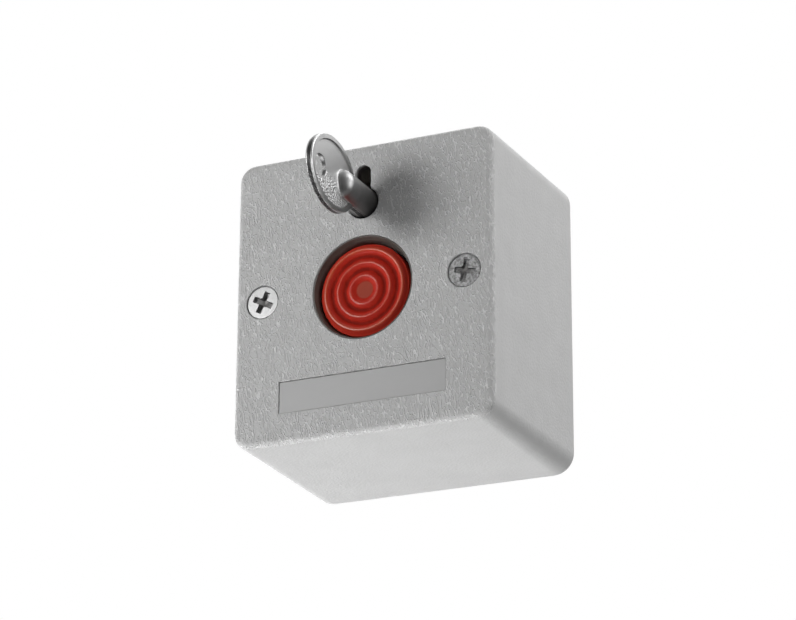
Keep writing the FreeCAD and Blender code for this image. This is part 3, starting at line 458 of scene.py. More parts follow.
def satin_red_abs():
    """Red ABS, moulded glossy and handled: crests paler, partly from scuffing and partly as painted
    highlight, even saturated slopes, duller valleys where fingers don't reach, painted darker as
    painted shade, a pale worn gate mark at the middle, a rim painted brighter as painted light, and
    fine concentric tool marks."""
    made, tree, where = new_material("satin_red_abs")
    where = node(tree, "VectorMath", {      # from the cap's own middle
        "operation": "ADD", 1: (-CAP_SLIP[0] * MM, 0, -CAP_SLIP[1] * MM)}, i0=where)
    y = node(tree, "SeparateXYZ", Vector=where).outputs["Y"]
    deep = node(tree, "MapRange", {
        "From Min": CAP_FRONT * MM, "From Max": (CAP_FRONT + RIDGE_H) * MM}, Value=y)
    cloud = node(tree, "TexNoise", {"Scale": 1 / (1.6 * MM), "Detail": 5.0, "Roughness": 0.6},
                 Vector=where)
    uneven = node(tree, "Math", {"operation": "MULTIPLY_ADD", 1: 0.5, 2: -0.25}, i0=cloud)
    worn = node(tree, "Math", {"operation": "ADD", "use_clamp": True}, i0=deep, i1=uneven)
    across = node(tree, "VectorMath", {"operation": "MULTIPLY", 1: (1, 0, 1)}, i0=where)
    away = node(tree, "VectorMath", {"operation": "LENGTH"}, i0=across).outputs["Value"]
    slopes = settings().button_colour
    # Crests paler from scuffing and as painted highlight, valleys darker as painted shade
    colour = node(tree, "ValToRGB", Fac=worn, stops=(
        (0.0, "#C04A2E"), (0.25, slopes), (0.72, slopes), (1.0, "#86190D")))
    gate = node(tree, "MapRange", {
        "interpolation_type": "SMOOTHSTEP", "From Min": (DISH_R + 0.4) * MM,
        "From Max": (DISH_R - 0.1) * MM}, Value=away)
    colour = node(tree, "MixRGB", {"Color2": linear("#A84A3A")}, Color1=colour, Fac=gate)
    # Painted light: the cap's outer slope is painted a brighter red
    rim = node(tree, "MapRange", {"From Min": 9.0 * MM, "From Max": 9.5 * MM}, Value=away)
    colour = node(tree, "MixRGB", {"Color2": linear("#CC3828")}, Color1=colour, Fac=rim)
    gloss, shine = [node(tree, "MapRange", {
        "From Min": 0.1, "From Max": 0.8, "To Min": low, "To Max": high}, Value=worn)
        for low, high in ((0.28, 0.7), (0.4, 0.1))]
    grain = node(tree, "TexNoise", {"Scale": 1 / (0.25 * MM), "Detail": 3.0}, Vector=where)
    marks = node(tree, "TexWave", {
        "wave_type": "RINGS", "rings_direction": "Y", "Distortion": 0.3,
        "Scale": 2 * math.pi / (20 * 0.4 * MM)}, Vector=where)      # a ring every 0.4 mm
    bump = node(tree, "Bump", {"Distance": 0.008 * MM}, Height=grain)
    bump = node(tree, "Bump", {"Distance": 0.004 * MM}, Height=marks.outputs["Fac"], Normal=bump)
    shader = node(tree, "BsdfPrincipled", {"IOR": 1.5}, Roughness=gloss, Normal=bump,
                  **{"Base Color": colour, "Specular IOR Level": shine})
    node(tree, "OutputMaterial", Surface=shader)
    return made


def cast_nickel():
    """Zinc die casting under nickel plate: bright on its polished rims, with a rough cast skin in
    the recessed web, roughest low down, the middle band of its edge painted darker as a painted
    dark reflection, and a shaft that is dulled by handling, painted darker as a painted dark
    reflection and darker still towards the lock as painted shade."""
    made, tree, where = new_material("cast_nickel")
    at = node(tree, "SeparateXYZ", Vector=where).outputs
    side = node(tree, "Math", {"operation": "ABSOLUTE"}, i0=at["X"])
    low = node(tree, "MapRange", {"From Min": BOW_Z * MM, "From Max": (BOW_Z - 5) * MM},
               Value=at["Z"])
    sunk, band, shaft = [
        node(tree, "MapRange", {"From Min": start * MM, "From Max": end * MM}, Value=side)
        for start, end in ((BOW_T / 2 - 0.1, BOW_WEB / 2 + 0.1),
                           (BOW_WEB / 2, BOW_WEB / 2 - 0.08), (0.85, 1.3))]
    from_hole = node(tree, "VectorMath", {
        "operation": "SUBTRACT", 1: (0, HOLE_Y * MM, HOLE_Z * MM)}, i0=where)
    flat = node(tree, "VectorMath", {"operation": "MULTIPLY", 1: (0, 1, 1)}, i0=from_hole)
    away = node(tree, "VectorMath", {"operation": "LENGTH"}, i0=flat).outputs["Value"]
    outside = node(tree, "MapRange", {"From Min": 2.6 * MM, "From Max": 3.0 * MM, "To Min": 0.8},
                   Value=away)
    dark_reflection_band = node(tree, "Math", {"operation": "MULTIPLY"}, i0=band, i1=outside)
    dulled = node(tree, "Math", {"operation": "MAXIMUM"}, i0=sunk, i1=shaft)
    rough = node(tree, "MapRange", {"To Min": 0.31, "To Max": 0.43}, Value=dulled)
    peel = node(tree, "TexNoise", {"Scale": 1 / (0.5 * MM), "Detail": 1.5, "Roughness": 0.6},
                Vector=where)
    web_only = node(tree, "MapRange", {
        "From Min": (HOLE_R + 0.05) * MM, "From Max": (HOLE_R + 0.25) * MM}, Value=away)
    height = node(tree, "Math", {"operation": "MULTIPLY"}, i0=peel, i1=sunk)
    height = node(tree, "Math", {"operation": "MULTIPLY"}, i0=height, i1=web_only)
    relief = node(tree, "Math", {"operation": "MULTIPLY_ADD", 1: 1.0 * MM, 2: 0.03 * MM}, i0=low)
    bump = node(tree, "Bump", Height=height, Distance=relief)
    cloud = node(tree, "TexNoise", {"Scale": 1 / (3 * MM), "Detail": 3.0}, Vector=where)
    colour = node(tree, "ValToRGB", stops=((0.3, "#A4A4A4"), (0.7, "#B8B8B8")), Fac=cloud)
    web = node(tree, "MixRGB", {"Color1": linear("#B4B4B4"), "Color2": linear("#B0B0B0")}, Fac=low)
    colour = node(tree, "MixRGB", Color1=colour, Color2=web, Fac=sunk)
    # Painted dark reflections: the middle band of the bow's edge and the shaft are multiplied
    # darker
    for code, painted_dark in (("#5E5E5E", dark_reflection_band), ("#D2D2D2", shaft)):
        colour = node(tree, "MixRGB", {"blend_type": "MULTIPLY", "Color2": linear(code)},
                      Color1=colour, Fac=painted_dark)
    # Painted shade: the shaft darkens as it nears the lock's hole
    colour = darkened(tree, colour, where, SHAFT_END, FRONT - 0.3, "#8A8886")
    shader = node(tree, "BsdfPrincipled", {"Metallic": 1.0}, Roughness=rough, Normal=bump,
                  **{"Base Color": colour})
    node(tree, "OutputMaterial", Surface=shader)
    return made


def zinc_plate(name, dark, light, roughness, pitting, dust_and_painted_light):
    """Zinc-plated steel, pressed cold: fine scratches and small pits that glint, and dust that
    takes the shine off the floor of the cross recess."""
    return surface(name, dark, light, 0.5, roughness, metallic=1.0,
                   bumps=((0.28, pitting), (0.14, pitting * 0.5)), dust_and_painted_light=dust_and_painted_light)


def solder_mask():
    """Glass-epoxy laminate under green solder mask: glossy green with faint copper tracks under
    it."""
    made, tree, where = new_material("solder_mask")
    turned_up = node(tree, "Mapping", {"Rotation": (math.radians(90), 0, 0)}, Vector=where)
    tracks = node(tree, "TexBrick", {
        "offset": 0.37, "Scale": 1 / (2.4 * MM), "Mortar Size": 0.03, "Color1": linear("#12552E"),
        "Color2": linear("#17653A"), "Mortar": linear("#0C4424")}, Vector=turned_up)
    bump = node(tree, "Bump", {"Distance": 0.03 * MM}, Height=tracks.outputs["Fac"])
    cloud = node(tree, "TexNoise", {"Scale": 1 / (4 * MM)}, Vector=where)
    gloss = node(tree, "MapRange", {"To Min": 0.2, "To Max": 0.35}, Value=cloud)
    shader = node(tree, "BsdfPrincipled", Roughness=gloss, Normal=bump, **{"Base Color": tracks})
    node(tree, "OutputMaterial", Surface=shader)
    return made


def pale_board(name, code):
    """Matt pale board, lit from below for the camera, so that it stays pale past the lamps'
    reach."""
    made, tree, where = new_material(name)
    fibre = node(tree, "TexNoise", {"Scale": 1 / (30 * MM), "Detail": 3.0}, Vector=where)
    colour = node(tree, "ValToRGB", stops=((0.2, code), (0.8, "#F4F4F3")), Fac=fibre)
    seen = node(tree, "LightPath").outputs["Is Camera Ray"]
    glow = node(tree, "Math", {"operation": "MULTIPLY", 1: 0.92}, i0=seen)
    shader = node(tree, "BsdfPrincipled", {"Roughness": 0.9}, **{
        "Base Color": colour, "Emission Color": colour, "Emission Strength": glow})
    node(tree, "OutputMaterial", Surface=shader)
    return made


# Finishes of the inner parts: the CAD nodes that wear each, then what surface() takes
INNER_FINISHES = {
    # ABS moulded dark: satin, faintly pebbled
    "charcoal_abs": (("latch_bracket", "battery_holder"),
                     ("#443F3B", "#504A46", 3.0, (0.4, 0.52), 0.0, ((0.3, 0.01),))),
    # The same charcoal ABS round the button, painted pale grey deep in the bore as painted light in
    # its shade, and charcoal towards the front
    "charcoal_abs_painted_light": ((), ("#9A9892", "#A8A69F", 3.0, (0.45, 0.55), 0.0, ((0.3, 0.01),), 0.0,
                                (FRONT + 4.5, FRONT + 1.0, "#7C7875"))),
    # ABS moulded in a spark-eroded tool: dry, even grey
    "grey_abs": ((), ("#AFAFAD", "#B4B4B2", 8.0, (0.5, 0.62), 0.0, ((0.5, 0.03),))),
    # Acetal, moulded: slippery, with a soft shine
    "dark_acetal": ((), ("#5A554F", "#645E58", 3.0, (0.3, 0.4), 0.0, ((0.4, 0.004),))),
    "white_acetal": (("button_stem", "latch_bar", "tamper_pin"),
                     ("#DDDCD4", "#E9E8E2", 5.0, (0.3, 0.4), 0.0, ((0.4, 0.004),))),
    # Spring steel drawn through a die: bright, with fine lengthwise marks
    "drawn_spring_wire": (("stem_clip",),
                          ("#8C8C8A", "#ABABA9", 0.6, (0.2, 0.34), 1.0, ((0.1, 0.004),))),
    # Zinc-plated screws, a little yellowed
    "zinc_screws": (("frame_screws", "bracket_screws", "board_screws"),
                    ("#A9A89F", "#C2C1B8", 0.5, (0.25, 0.4), 1.0, ((0.28, 0.006), (0.14, 0.003)))),
    # Brass, turned: warm and bright, with fine tool marks
    "turned_brass": (("thread_inserts",),
                     ("#C39A4C", "#D6AF62", 1.0, (0.2, 0.32), 1.0, ((0.12, 0.004),))),
    # Copper wire under clear enamel: dark, glossy orange
    "enamelled_copper": (("aerial",), ("#8E4A22", "#A85C2E", 1.5, (0.2, 0.3), 1.0,
                                       ((0.2, 0.002),), 0.5)),
    # Tinned steel, drawn: soft, slightly wavy reflections
    "tinned_can": (("battery", "capacitor", "radio_module", "crystal"),
                   ("#B4B5B6", "#C9CACB", 2.5, (0.24, 0.4), 1.0, ((0.6, 0.006),))),
    # Nickel-plated strip, rolled: warm white metal
    "nickel_strip": (("battery_contacts",),
                     ("#B9B3A6", "#CCC6BA", 1.6, (0.22, 0.36), 1.0, ((0.2, 0.003),))),
    # Filled epoxy, moulded: dull and near black
    "black_epoxy": (("press_switch", "tamper_switch", "controller_chip", "board_passives"),
                    ("#17171A", "#222226", 0.8, (0.5, 0.65), 0.0, ((0.15, 0.006),))),
    # Phenolic plastic, moulded: brownish red with a soft shine
    "brown_plunger": (("switch_plunger",),
                      ("#8A2A20", "#9C372B", 1.5, (0.3, 0.42), 0.0, ((0.3, 0.003),))),
}


# Properties

class PanicButtonSettings(bpy.types.PropertyGroup):
    """Sizes, turns and colours that a user would change."""
    housing_dark: StringProperty(
        name="Housing, darker", description="sRGB hex of the housing's darker patches",
        default="#B7B7B7")
    housing_light: StringProperty(
        name="Housing, lighter", description="sRGB hex of the housing's paler patches",
        default="#BCBCBC")
    button_colour: StringProperty(
        name="Button", description="sRGB hex of the button's slopes", default="#BC2A1B")
    label_colour: StringProperty(
        name="Label", description="sRGB hex of the blank label", default="#A9A9A9")
    rim: FloatProperty(
        name="Rim rounding", description="Rounding of the front's openings",
        default=0.22 * MM, min=0.05 * MM, max=0.6 * MM, precision=5, unit="LENGTH")
    web_fillet: FloatProperty(
        name="Key fillet", description="Rounding between the key's shaft and web",
        default=0.22 * MM, min=0.05 * MM, max=1.5 * MM, precision=5, unit="LENGTH")
    left_turn: FloatProperty(
        name="Left screw turn", description="Turn of the left screw's cross",
        default=math.radians(27), subtype="ANGLE")
    right_turn: FloatProperty(
        name="Right screw turn", description="Turn of the right screw's cross",
        default=math.radians(13), subtype="ANGLE")


# Pieces

class BuildHousing(bpy.types.Operator):
    """Builds the moulded front housing with its openings"""
    bl_idname = "panic_button.housing"
    bl_label = "Front housing"

    def execute(self, context):
        rings = []

        def ring(inset, y, scale=1.0):
            """Adds the drafted outline at depth y, drawn in by the inset."""
            lean = DRAFT * -y / DEPTH
            outline = rounded_outline(WIDE_0 - lean - inset, HIGH_0 - lean - inset,
                                      max(CORNER_R - lean - inset, 0.5)) * scale
            rings.append(np.insert(outline, 1, y, axis=1))

        for scale in (0.02, 0.35, 0.7, 0.96):
            ring(EDGE_R, FRONT, scale)
        for a in np.radians(np.linspace(0, 90, 9)):
            ring(EDGE_R * (1 - math.sin(a)), FRONT + EDGE_R * (1 - math.cos(a)))
        for inset, y in ((0, FRONT / 2), (0, RIM_Y - BACK_EDGE), (BACK_EDGE, RIM_Y),
                         (WALL, RIM_Y), (WALL, FRONT / 2), (WALL, FRONT + FACE)):
            ring(inset, y)
        for scale in (0.6, 0.02):
            ring(WALL, FRONT + FACE, scale)
        piece = mesh_object("housing_shell", [skin(np.stack(rings))])
        cut(piece, self.openings())
        place(weighted(piece), "case", "housing_plastic", leather_grained_abs(), "front_housing")
        return {"FINISHED"}

    def openings(self):
        """Closed surfaces of the bore, the screw seats, the keyhole and the label's recess."""
        before, inside = FRONT - 1, FRONT + FACE + 1
        rim = settings().rim / MM
        flare = rim * 0.6   # the bore's rim is less rounded than the others
        r, y = quarter(BORE_R + flare, FRONT, BORE_R, FRONT + flare, 7)
        tools = [turned(np.concatenate([[0.02, r[0]], r, [BORE_R, 0.02]]),
                        np.concatenate([[before, before], y, [inside, inside]]), around=192)]
        # The screws' seats lie a little up and left, so the heads leave a crescent there
        seat, shank = HEAD_R + SEAT_ROOM, SCREW_R + SHANK_ROOM
        r, y = quarter(seat + rim, FRONT, seat, FRONT + rim)
        radius = np.concatenate([[0.02, r[0]], r, [seat, shank, shank, 0.02]])
        depth = np.concatenate([[before, before], y,
                                [FRONT + SEAT_WALL, FRONT + SEAT_DEPTH, inside, inside]])
        tools += [turned(radius, depth, x=x - SEAT_SLIP, z=SEAT_SLIP) for x in (LEFT_X, RIGHT_X)]
        grow, y = quarter(rim, FRONT, 0.0, FRONT + rim)
        tools.append(along_y([keyhole_outline(g) for g in (rim, *grow, 0)], [before, *y, inside]))
        half_x, half_z = LABEL_X + LABEL_ROOM, LABEL_HALF + LABEL_ROOM
        grow, y = quarter(LABEL_RIM, FRONT, 0.0, FRONT + LABEL_RIM)
        recess = [rounded_outline(half_x + g, half_z + g, LABEL_CORNER) + np.array([0, LABEL_Z])
                  for g in (LABEL_RIM, *grow, 0.0)]
        tools.append(along_y(recess, [before, *y, LABEL_BACK]))
        return tools


class BuildLabel(bpy.types.Operator):
    """Builds the blank label strip, stuck a little low and to the right in its recess"""
    bl_idname = "panic_button.label"
    bl_label = "Label strip"

    def execute(self, context):
        centre = np.array([LABEL_SLIP, LABEL_Z - LABEL_SLIP])
        steps = ((-1.2, LABEL_FACE), (-0.05, LABEL_FACE), (0.0, LABEL_FACE + 0.05),
                 (0.0, LABEL_BACK))
        strip = along_y([rounded_outline(LABEL_X + g, LABEL_HALF + g, STRIP_CORNER) + centre
                         for g, y in steps], [y for g, y in steps])
        # Polycarbonate film, extruded: flatter and calmer than the grained housing round it
        finish = surface("smooth_label_plastic", settings().label_colour, "#ADADAD", 9.0,
                         (0.42, 0.5), bumps=((0.5, 0.004),))
        place(weighted(mesh_object("blank_label", [strip])), "case", "label_plastic", finish,
              "label_strip")
        return {"FINISHED"}


class BuildScrews(bpy.types.Operator):
    """Builds the two cover screws with their cross recesses"""
    bl_idname = "panic_button.screws"
    bl_label = "Cover screws"

    def execute(self, context):
        bright = zinc_plate("bright_zinc", "#8E8E8E", "#9A9A9A", (0.42, 0.5), 0.01,
                            (FRONT + 0.85, FRONT + 1.3, "#B4B2B0"))
        dull = zinc_plate("dull_zinc", "#545454", "#969696", (0.3, 0.46), 0.09,
                          (FRONT + 0.45, FRONT + 0.7, "#B4B2B0"))
        left, right = settings().left_turn, settings().right_turn
        for x, turn, share, name, slot, finish in (
                (LEFT_X, left, 1.0, "cover_screw_left", "bright_steel", bright),
                (RIGHT_X, right, 0.5, "cover_screw_right", "dull_steel", dull)):
            piece = mesh_object(name + "_dressed", [screw(x, turn, share)], 50)
            place(piece, "case", slot, finish, name)
        return {"FINISHED"}


def cross_recess(r, a, turn):
    """Depth of a cross recess at polar (r, a): four tapering wings round a conical middle.
    A wing's floor falls from its tip to the middle, and its side walls slope in."""
    a = a + turn
    u = np.maximum(np.abs(r * np.cos(a)), np.abs(r * np.sin(a)))     # along the nearer wing
    v = np.minimum(np.abs(r * np.cos(a)), np.abs(r * np.sin(a)))     # across it
    tip_depth, more_inside, end_slope, side_slope = 0.75, 0.6, 0.14, 0.12
    cone_r, cone_slope, cone_depth = 1.35, 0.25, 0.7
    floor = (np.clip((RECESS_HALF - u) / end_slope, 0, 1)
             * (tip_depth + more_inside * np.clip(1 - u / RECESS_HALF, 0, 1)))
    wall = np.clip((RECESS_W / 2 - v) / side_slope, 0, 1)
    cone = np.clip((cone_r - u - 0.75 * v) / cone_slope, 0, 1) * cone_depth
    return np.maximum(floor * wall, cone)


def screw(x, turn, share, around=192):
    """Countersunk screw: recessed face, thin rim, cone, threaded shank and point. share is how much
    of the recess's depth is open, as dust and paint half fill the right one's.
    The thread is a triangle wave of the angle plus the depth over the pitch."""
    a = 2 * np.pi * np.arange(around)[None, :] / around
    top = FRONT + HEAD_SINK
    r = np.concatenate([np.linspace(0.04, 2.6, 74), np.linspace(2.7, HEAD_R - 0.12, 8)])[:, None]
    r = r + 0 * a
    face = top + share * cross_recess(r, a, turn) + 0.05 * (r / HEAD_R) ** 2
    edge_r, edge_y = quarter(HEAD_R - 0.08, top + 0.05, HEAD_R, top + 0.13)
    shank_y = np.linspace(top + HEAD_H, INSERT_Y, 6)
    cone_r = np.concatenate([edge_r, [HEAD_R], np.full(len(shank_y), SCREW_R)])
    cone_y = np.concatenate([edge_y, [top + 0.25], shank_y])
    thread_y = np.arange(INSERT_Y + 0.1, SCREW_TIP - 1.0, 0.1)[:, None]
    wave = np.abs(((a / (2 * np.pi) + thread_y / THREAD_PITCH) % 1.0) - 0.5) * 2
    thread = SCREW_R - THREAD_H * wave
    tip_r = np.array([1.3, 0.8, 0.04])
    tip_y = np.array([SCREW_TIP - 0.7, SCREW_TIP, SCREW_TIP])
    radius = np.concatenate([r, cone_r[:, None] + 0 * a, thread, tip_r[:, None] + 0 * a])
    depth = np.concatenate([face, cone_y[:, None] + 0 * a, thread_y + 0 * a,
                            tip_y[:, None] + 0 * a])
    return turned(radius, depth, x=x)


class BuildButton(bpy.types.Operator):
    """Builds the ridged red cap"""
    bl_idname = "panic_button.button"
    bl_label = "Button cap"

    def execute(self, context):
        dish = RIDGE_H - DISH_H
        knots = ((0, dish), (DISH_R, dish), (RIDGES[0], 0.15), (VALLEYS[0], RIDGE_H),
                 (RIDGES[1], 0.1), (VALLEYS[1], RIDGE_H), (RIDGES[2], 0.0),
                 (CAP_R + 0.6, CAP_RIM + 0.25))
        r = np.linspace(0.05, CAP_R - 0.25, 190)
        face = CAP_FRONT + waves(r, knots)
        edge_r, edge_y = quarter(r[-1], face[-1], CAP_R, face[-1] + CAP_EDGE, 6)
        back, under = CAP_FRONT + CAP_L, CAP_FRONT + RIDGE_H + CAP_WALL
        hub_back, inner_r = back + 0.5, CAP_R - CAP_WALL
        radius = np.concatenate([r, edge_r[1:], [
            CAP_R, CAP_R - 0.15, inner_r, inner_r, HUB_R, HUB_R, SPIGOT_R, SPIGOT_R, 0.05]])
        depth = np.concatenate([face, edge_y[1:], [
            back - 0.15, back, back, under, under, hub_back, hub_back, under, under]])
        piece = mesh_object("ridged_cap", [turned(radius, depth, *CAP_SLIP, around=160)], 40)
        place(piece, "push_button", "red_plastic", satin_red_abs(), "button_cap")
        return {"FINISHED"}


def waves(r, knots):
    """Depth at radius r: half a cosine wave from each (radius, depth) knot to the next."""
    at, value = np.array(knots).T
    i = np.clip(np.searchsorted(at, r, side="right") - 1, 0, len(at) - 2)
    share = (r - at[i]) / (at[i + 1] - at[i])
    return value[i] + (value[i + 1] - value[i]) * (1 - np.cos(np.pi * share)) / 2


class BuildKey(bpy.types.Operator):
    """Builds the reset key: bow, shaft and bit"""
    bl_idname = "panic_button.key"
    bl_label = "Reset key"

    def execute(self, context):
        dome = np.radians(np.linspace(0, 90, 14))
        radius = np.concatenate([np.maximum(SHAFT_R * np.sin(dome), 0.03),
                                 [SHAFT_R, SHAFT_R - 0.2, 0.03]])
        depth = np.concatenate([SHAFT_END - DOME_H * np.cos(dome),
                                [KEY_TIP - 0.2, KEY_TIP, KEY_TIP]])
        shaft = turned(radius, depth, z=KEY_Z, around=96)
        bit = along_y([bit_outline(g) for g in (-0.2, 0.0, 0.0, -0.2)],
                      [KEY_TIP - BIT_L, KEY_TIP - BIT_L + 0.2, KEY_TIP - 0.2, KEY_TIP])
        piece = mesh_object("reset_key_dressed",
                            [bow(), shaft, bit, web_fillet(1), web_fillet(-1)], 40)
        place(piece, "key", "plated_key", cast_nickel(), "reset_key")
        return {"FINISHED"}


def bit_outline(grow, steps=12):
    """Tongue that stands up from the shaft's axis to a round end."""
    half = BIT_T / 2 + grow
    b = np.linspace(0, math.pi, steps)
    end = np.stack([half * np.cos(b), KEY_Z + SLOT_UP + half * np.sin(b)], -1)
    return np.concatenate([end, [[-half, KEY_Z], [half, KEY_Z]]])


def bow(around=288):
    """Oval bow with an off-centre hole: rings blend from the hole's circle to the oval's edge, and
    go round both faces. Each face is a raised rim, a step down to the web, and the flat web, which
    ends in a small bevel at the hole."""
    a = 2 * np.pi * np.arange(around) / around
    unit = np.stack([np.cos(a), np.sin(a)], -1)
    half, web = BOW_T / 2, BOW_WEB / 2
    step, lip, rounding = 0.22, 0.1, 0.26   # widths of the step, the bevel and the outer edge

    def oval(inset):
        """The bow's edge, drawn in by the inset."""
        return np.array([BOW_Y, BOW_Z]) + unit * np.array([BOW_RY - inset, BOW_RZ - inset])

    hole = np.array([HOLE_Y, HOLE_Z]) + HOLE_R * unit
    mouth = hole + lip * unit
    share = np.linspace(0.0, 1.0, 12)[:, None, None]
    flat = np.concatenate([hole[None], mouth + (oval(BOW_RIM + step) - mouth) * share])
    height = np.full(flat.shape[:2], web)
    height[0] = web - lip
    side_r, side_x = quarter(0.0, half, rounding, half - rounding, 6)
    rising = np.array([0.35, 0.7, 1.0])
    edge = [oval(BOW_RIM + step * (1 - t)) for t in rising] + [oval(rounding)]
    edge += [oval(rounding - g) for g in side_r[1:]]
    rise = (1 - np.cos(np.pi * rising)) / 2
    edge_x = list(web + (half - web) * rise) + [half] + list(side_x[1:])
    plan = np.concatenate([flat, np.stack(edge)])
    x = np.concatenate([height, np.repeat(np.array(edge_x)[:, None], around, 1)])
    front = np.concatenate([x[..., None], plan], -1)
    back = front[::-1] * np.array([-1, 1, 1])
    return skin(np.concatenate([front, back]), closed=True)


def web_fillet(side, steps=40, run=3.2):
    """Bead that rounds the corner between the web and the shaft's domed end, on one face of the
    bow. Its path is the shaft's outline in the web's plane: a half ellipse, and straights along
    which the bead thins out. Across it runs a quadratic curve from the web to the shaft, closed by
    points inside the metal."""
    a = np.concatenate([[-0.5, -0.25], np.linspace(0, math.pi, steps),
                        [math.pi + 0.25, math.pi + 0.5]])
    along = np.clip(a, 0, math.pi)
    past = np.abs(a - along) * run                                   # mm beyond the dome
    size = settings().web_fillet / MM * np.clip(1.0 - past / run, 0.35, 1.0)

    def outline(height, grow=0.0):
        """The shaft's outline at a height above the bow's middle plane, grown outwards."""
        shrink = np.sqrt(np.clip(1 - (height / SHAFT_R) ** 2, 0, 1))
        y = SHAFT_END - (DOME_H * shrink + grow) * np.sin(along) + past
        z = KEY_Z + (SHAFT_R * shrink + grow) * np.cos(along)
        return np.stack([side * (height + 0 * a), y, z], -1)

    web = BOW_WEB / 2
    low, bend, high = outline(web, size), outline(web), outline(web + size)
    share = np.linspace(0, 1, 9)[:, None, None]
    curve = (1 - share) ** 2 * low + 2 * share * (1 - share) * bend + share ** 2 * high
    inside = np.stack([outline(web + size, -0.6), outline(0.1, -0.6), outline(0.1, size)])
    return skin(np.concatenate([curve, inside]).transpose(1, 0, 2))


class BuildInside(bpy.types.Operator):
    """Dresses the frame, the lock, the springs, the base plate and the electronics"""
    bl_idname = "panic_button.inside"
    bl_label = "Inner parts"

    def execute(self, context):
        finishes = {name: surface(name, *values) for name, (_, values) in INNER_FINISHES.items()}
        for name, source, bevel, body, slot, finish in (
                ("frame_dressed", "switch_frame", 0.09, "case", "dark_plastic",
                 "charcoal_abs_painted_light"),
                ("rotor_dressed", "lock_rotor", 0.12, "rotor", "acetal_black", "dark_acetal"),
                ("base_dressed", "base_plate", 0.3, "case", "housing_plastic", "grey_abs")):
            place(joined_copy(name, source, bevel), body, slot, finishes[finish], source)
        self.springs(finishes["drawn_spring_wire"])
        worn = [(nodes, finishes[name]) for name, (nodes, _) in INNER_FINISHES.items()]
        for nodes, finish in worn + [(("circuit_board",), solder_mask())]:
            for name in nodes:
                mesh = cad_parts[name].data
                mesh.materials.clear()
                mesh.materials.append(finish)
        return {"FINISHED"}

    def springs(self, wire):
        """Both coil springs, each a round wire along a helix. A spring's wire stays inside its CAD
        box, by one wire's thickness, so that it doesn't cut into what presses it."""
        low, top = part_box("return_spring")
        start = (0, low.y / MM + RETURN_WIRE, 0)
        length = (top.y - low.y) / MM - 2 * RETURN_WIRE
        path = helix(RETURN_R, RETURN_TURNS, start, length, "Y")
        coil = mesh_object("return_coil", [tube(path, RETURN_WIRE)], 60)
        place(coil, "case", "spring_steel", wire, "return_spring")
        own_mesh(coil)
        low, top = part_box("latch_spring")
        start = ((low.x + top.x) / 2 / MM, (low.y + top.y) / 2 / MM, low.z / MM + LATCH_WIRE)
        length = (top.z - low.z) / MM - 2 * LATCH_WIRE
        path = helix(LATCH_R, LATCH_TURNS, start, length, "Z", 20)
        coil = mesh_object("latch_coil", [tube(path, LATCH_WIRE, 8)], 60)
        place(coil, "case", "spring_steel", wire, "latch_spring")
        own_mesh(coil)


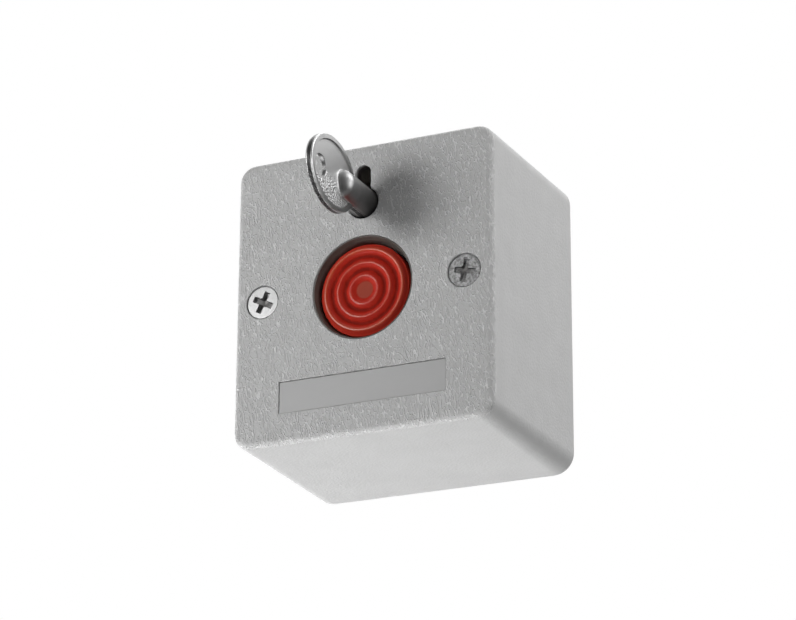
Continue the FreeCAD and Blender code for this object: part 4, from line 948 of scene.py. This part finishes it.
class BuildStage(bpy.types.Operator):
    """Sets the floor, the lamps, the white surroundings and the camera"""
    bl_idname = "panic_button.stage"
    bl_label = "Stage"

    def execute(self, context):
        scene = context.scene
        scene.view_settings.view_transform = "Standard"
        self.floor(scene)
        self.surroundings(scene)
        for name, azimuth, height, away, size, power in LAMPS:
            data = bpy.data.lights.new(name, "AREA")
            data.shape = "SQUARE"
            data.size = size
            data.energy = power
            lamp = bpy.data.objects.new(name, data)
            a, e = math.radians(azimuth), math.radians(height)
            lamp.location = (away * math.sin(a) * math.cos(e), -away * math.cos(a) * math.cos(e),
                             away * math.sin(e))
            lamp.rotation_euler = (math.pi / 2 - e, 0, a)
            lamp.visible_camera = False
            scene.collection.objects.link(lamp)
        data = bpy.data.cameras.new("camera")
        data.sensor_width = 36
        data.lens = 136.434
        data.clip_start = 0.01
        camera = bpy.data.objects.new("camera", data)
        camera.location = (0.25183, -0.56081, -0.21851)
        camera.rotation_euler = (1.92474, -0.00522, 0.43643)
        scene.collection.objects.link(camera)
        scene.camera = camera
        return {"FINISHED"}

    def floor(self, scene, drop=-620.0, reach=2.0, cells=8):
        """Square floor, far enough below the box to stay out of the main view."""
        side = np.linspace(-reach, reach, cells + 1) / MM
        x, y = np.meshgrid(side, side)
        points = np.stack([x, y, np.full_like(x, drop)], -1).reshape(-1, 3)
        row = cells + 1
        i = np.arange(cells)[:, None] * row + np.arange(cells)[None, :]
        faces = np.stack([i, i + 1, i + row + 1, i + row], -1).reshape(-1, 4).tolist()
        mesh = bpy.data.meshes.new("floor")
        mesh.from_pydata((points * MM).tolist(), [], faces)
        floor = bpy.data.objects.new("floor", mesh)
        scene.collection.objects.link(floor)
        mesh.materials.append(pale_board("pale_floor", "#ECECEB"))

    def surroundings(self, scene):
        """White to the camera. Metal and gloss see a white sweep behind the object and a dim room
        in front of it, and only a trace of it lights the object, whose light is the lamps'."""
        world = bpy.data.worlds.new("white_sweep")
        scene.world = world
        world.use_nodes = True
        tree = world.node_tree
        tree.nodes.clear()
        path = node(tree, "LightPath").outputs
        to_sky = node(tree, "TexCoord").outputs["Generated"]
        back = node(tree, "SeparateXYZ", Vector=to_sky).outputs["Y"]
        sweep = node(tree, "MapRange", {
            "interpolation_type": "SMOOTHSTEP", "From Min": -0.75, "From Max": 0.1, "To Min": 0.2},
            Value=back)
        level = node(tree, "Math", {"operation": "MULTIPLY"}, i0=path["Is Glossy Ray"], i1=sweep)
        for seen in ("Is Camera Ray", "Is Transmission Ray"):
            level = node(tree, "Math", {"operation": "MAXIMUM"}, i0=level, i1=path[seen])
        level = node(tree, "Math", {"operation": "MAXIMUM", 1: 0.015}, i0=level)
        white = node(tree, "Background", {"Color": (1, 1, 1, 1)}, Strength=level)
        node(tree, "OutputWorld", Surface=white)


class PanicButtonPanel(bpy.types.Panel):
    """Buttons for each piece, and the settings they read"""
    bl_idname = "VIEW3D_PT_panic_button"
    bl_label = "Panic button"
    bl_space_type = "VIEW_3D"
    bl_region_type = "UI"
    bl_category = "Panic button"

    def draw(self, context):
        for name in PanicButtonSettings.__annotations__:
            self.layout.prop(context.scene.panic_button, name)
        for operator in OPERATORS:
            self.layout.operator(operator.bl_idname)


OPERATORS = (BuildHousing, BuildLabel, BuildScrews, BuildButton, BuildKey, BuildInside, BuildStage)


def register():
    for cls in (PanicButtonSettings, *OPERATORS, PanicButtonPanel):
        bpy.utils.register_class(cls)
    bpy.types.Scene.panic_button = PointerProperty(type=PanicButtonSettings)


def unregister():
    del bpy.types.Scene.panic_button
    for cls in reversed((PanicButtonSettings, *OPERATORS, PanicButtonPanel)):
        bpy.utils.unregister_class(cls)


def main():
    """Registers the classes and builds everything."""
    register()
    for operator in OPERATORS:
        group, name = operator.bl_idname.split(".")
        getattr(getattr(bpy.ops, group), name)()


if __name__ == "__main__":
    main()
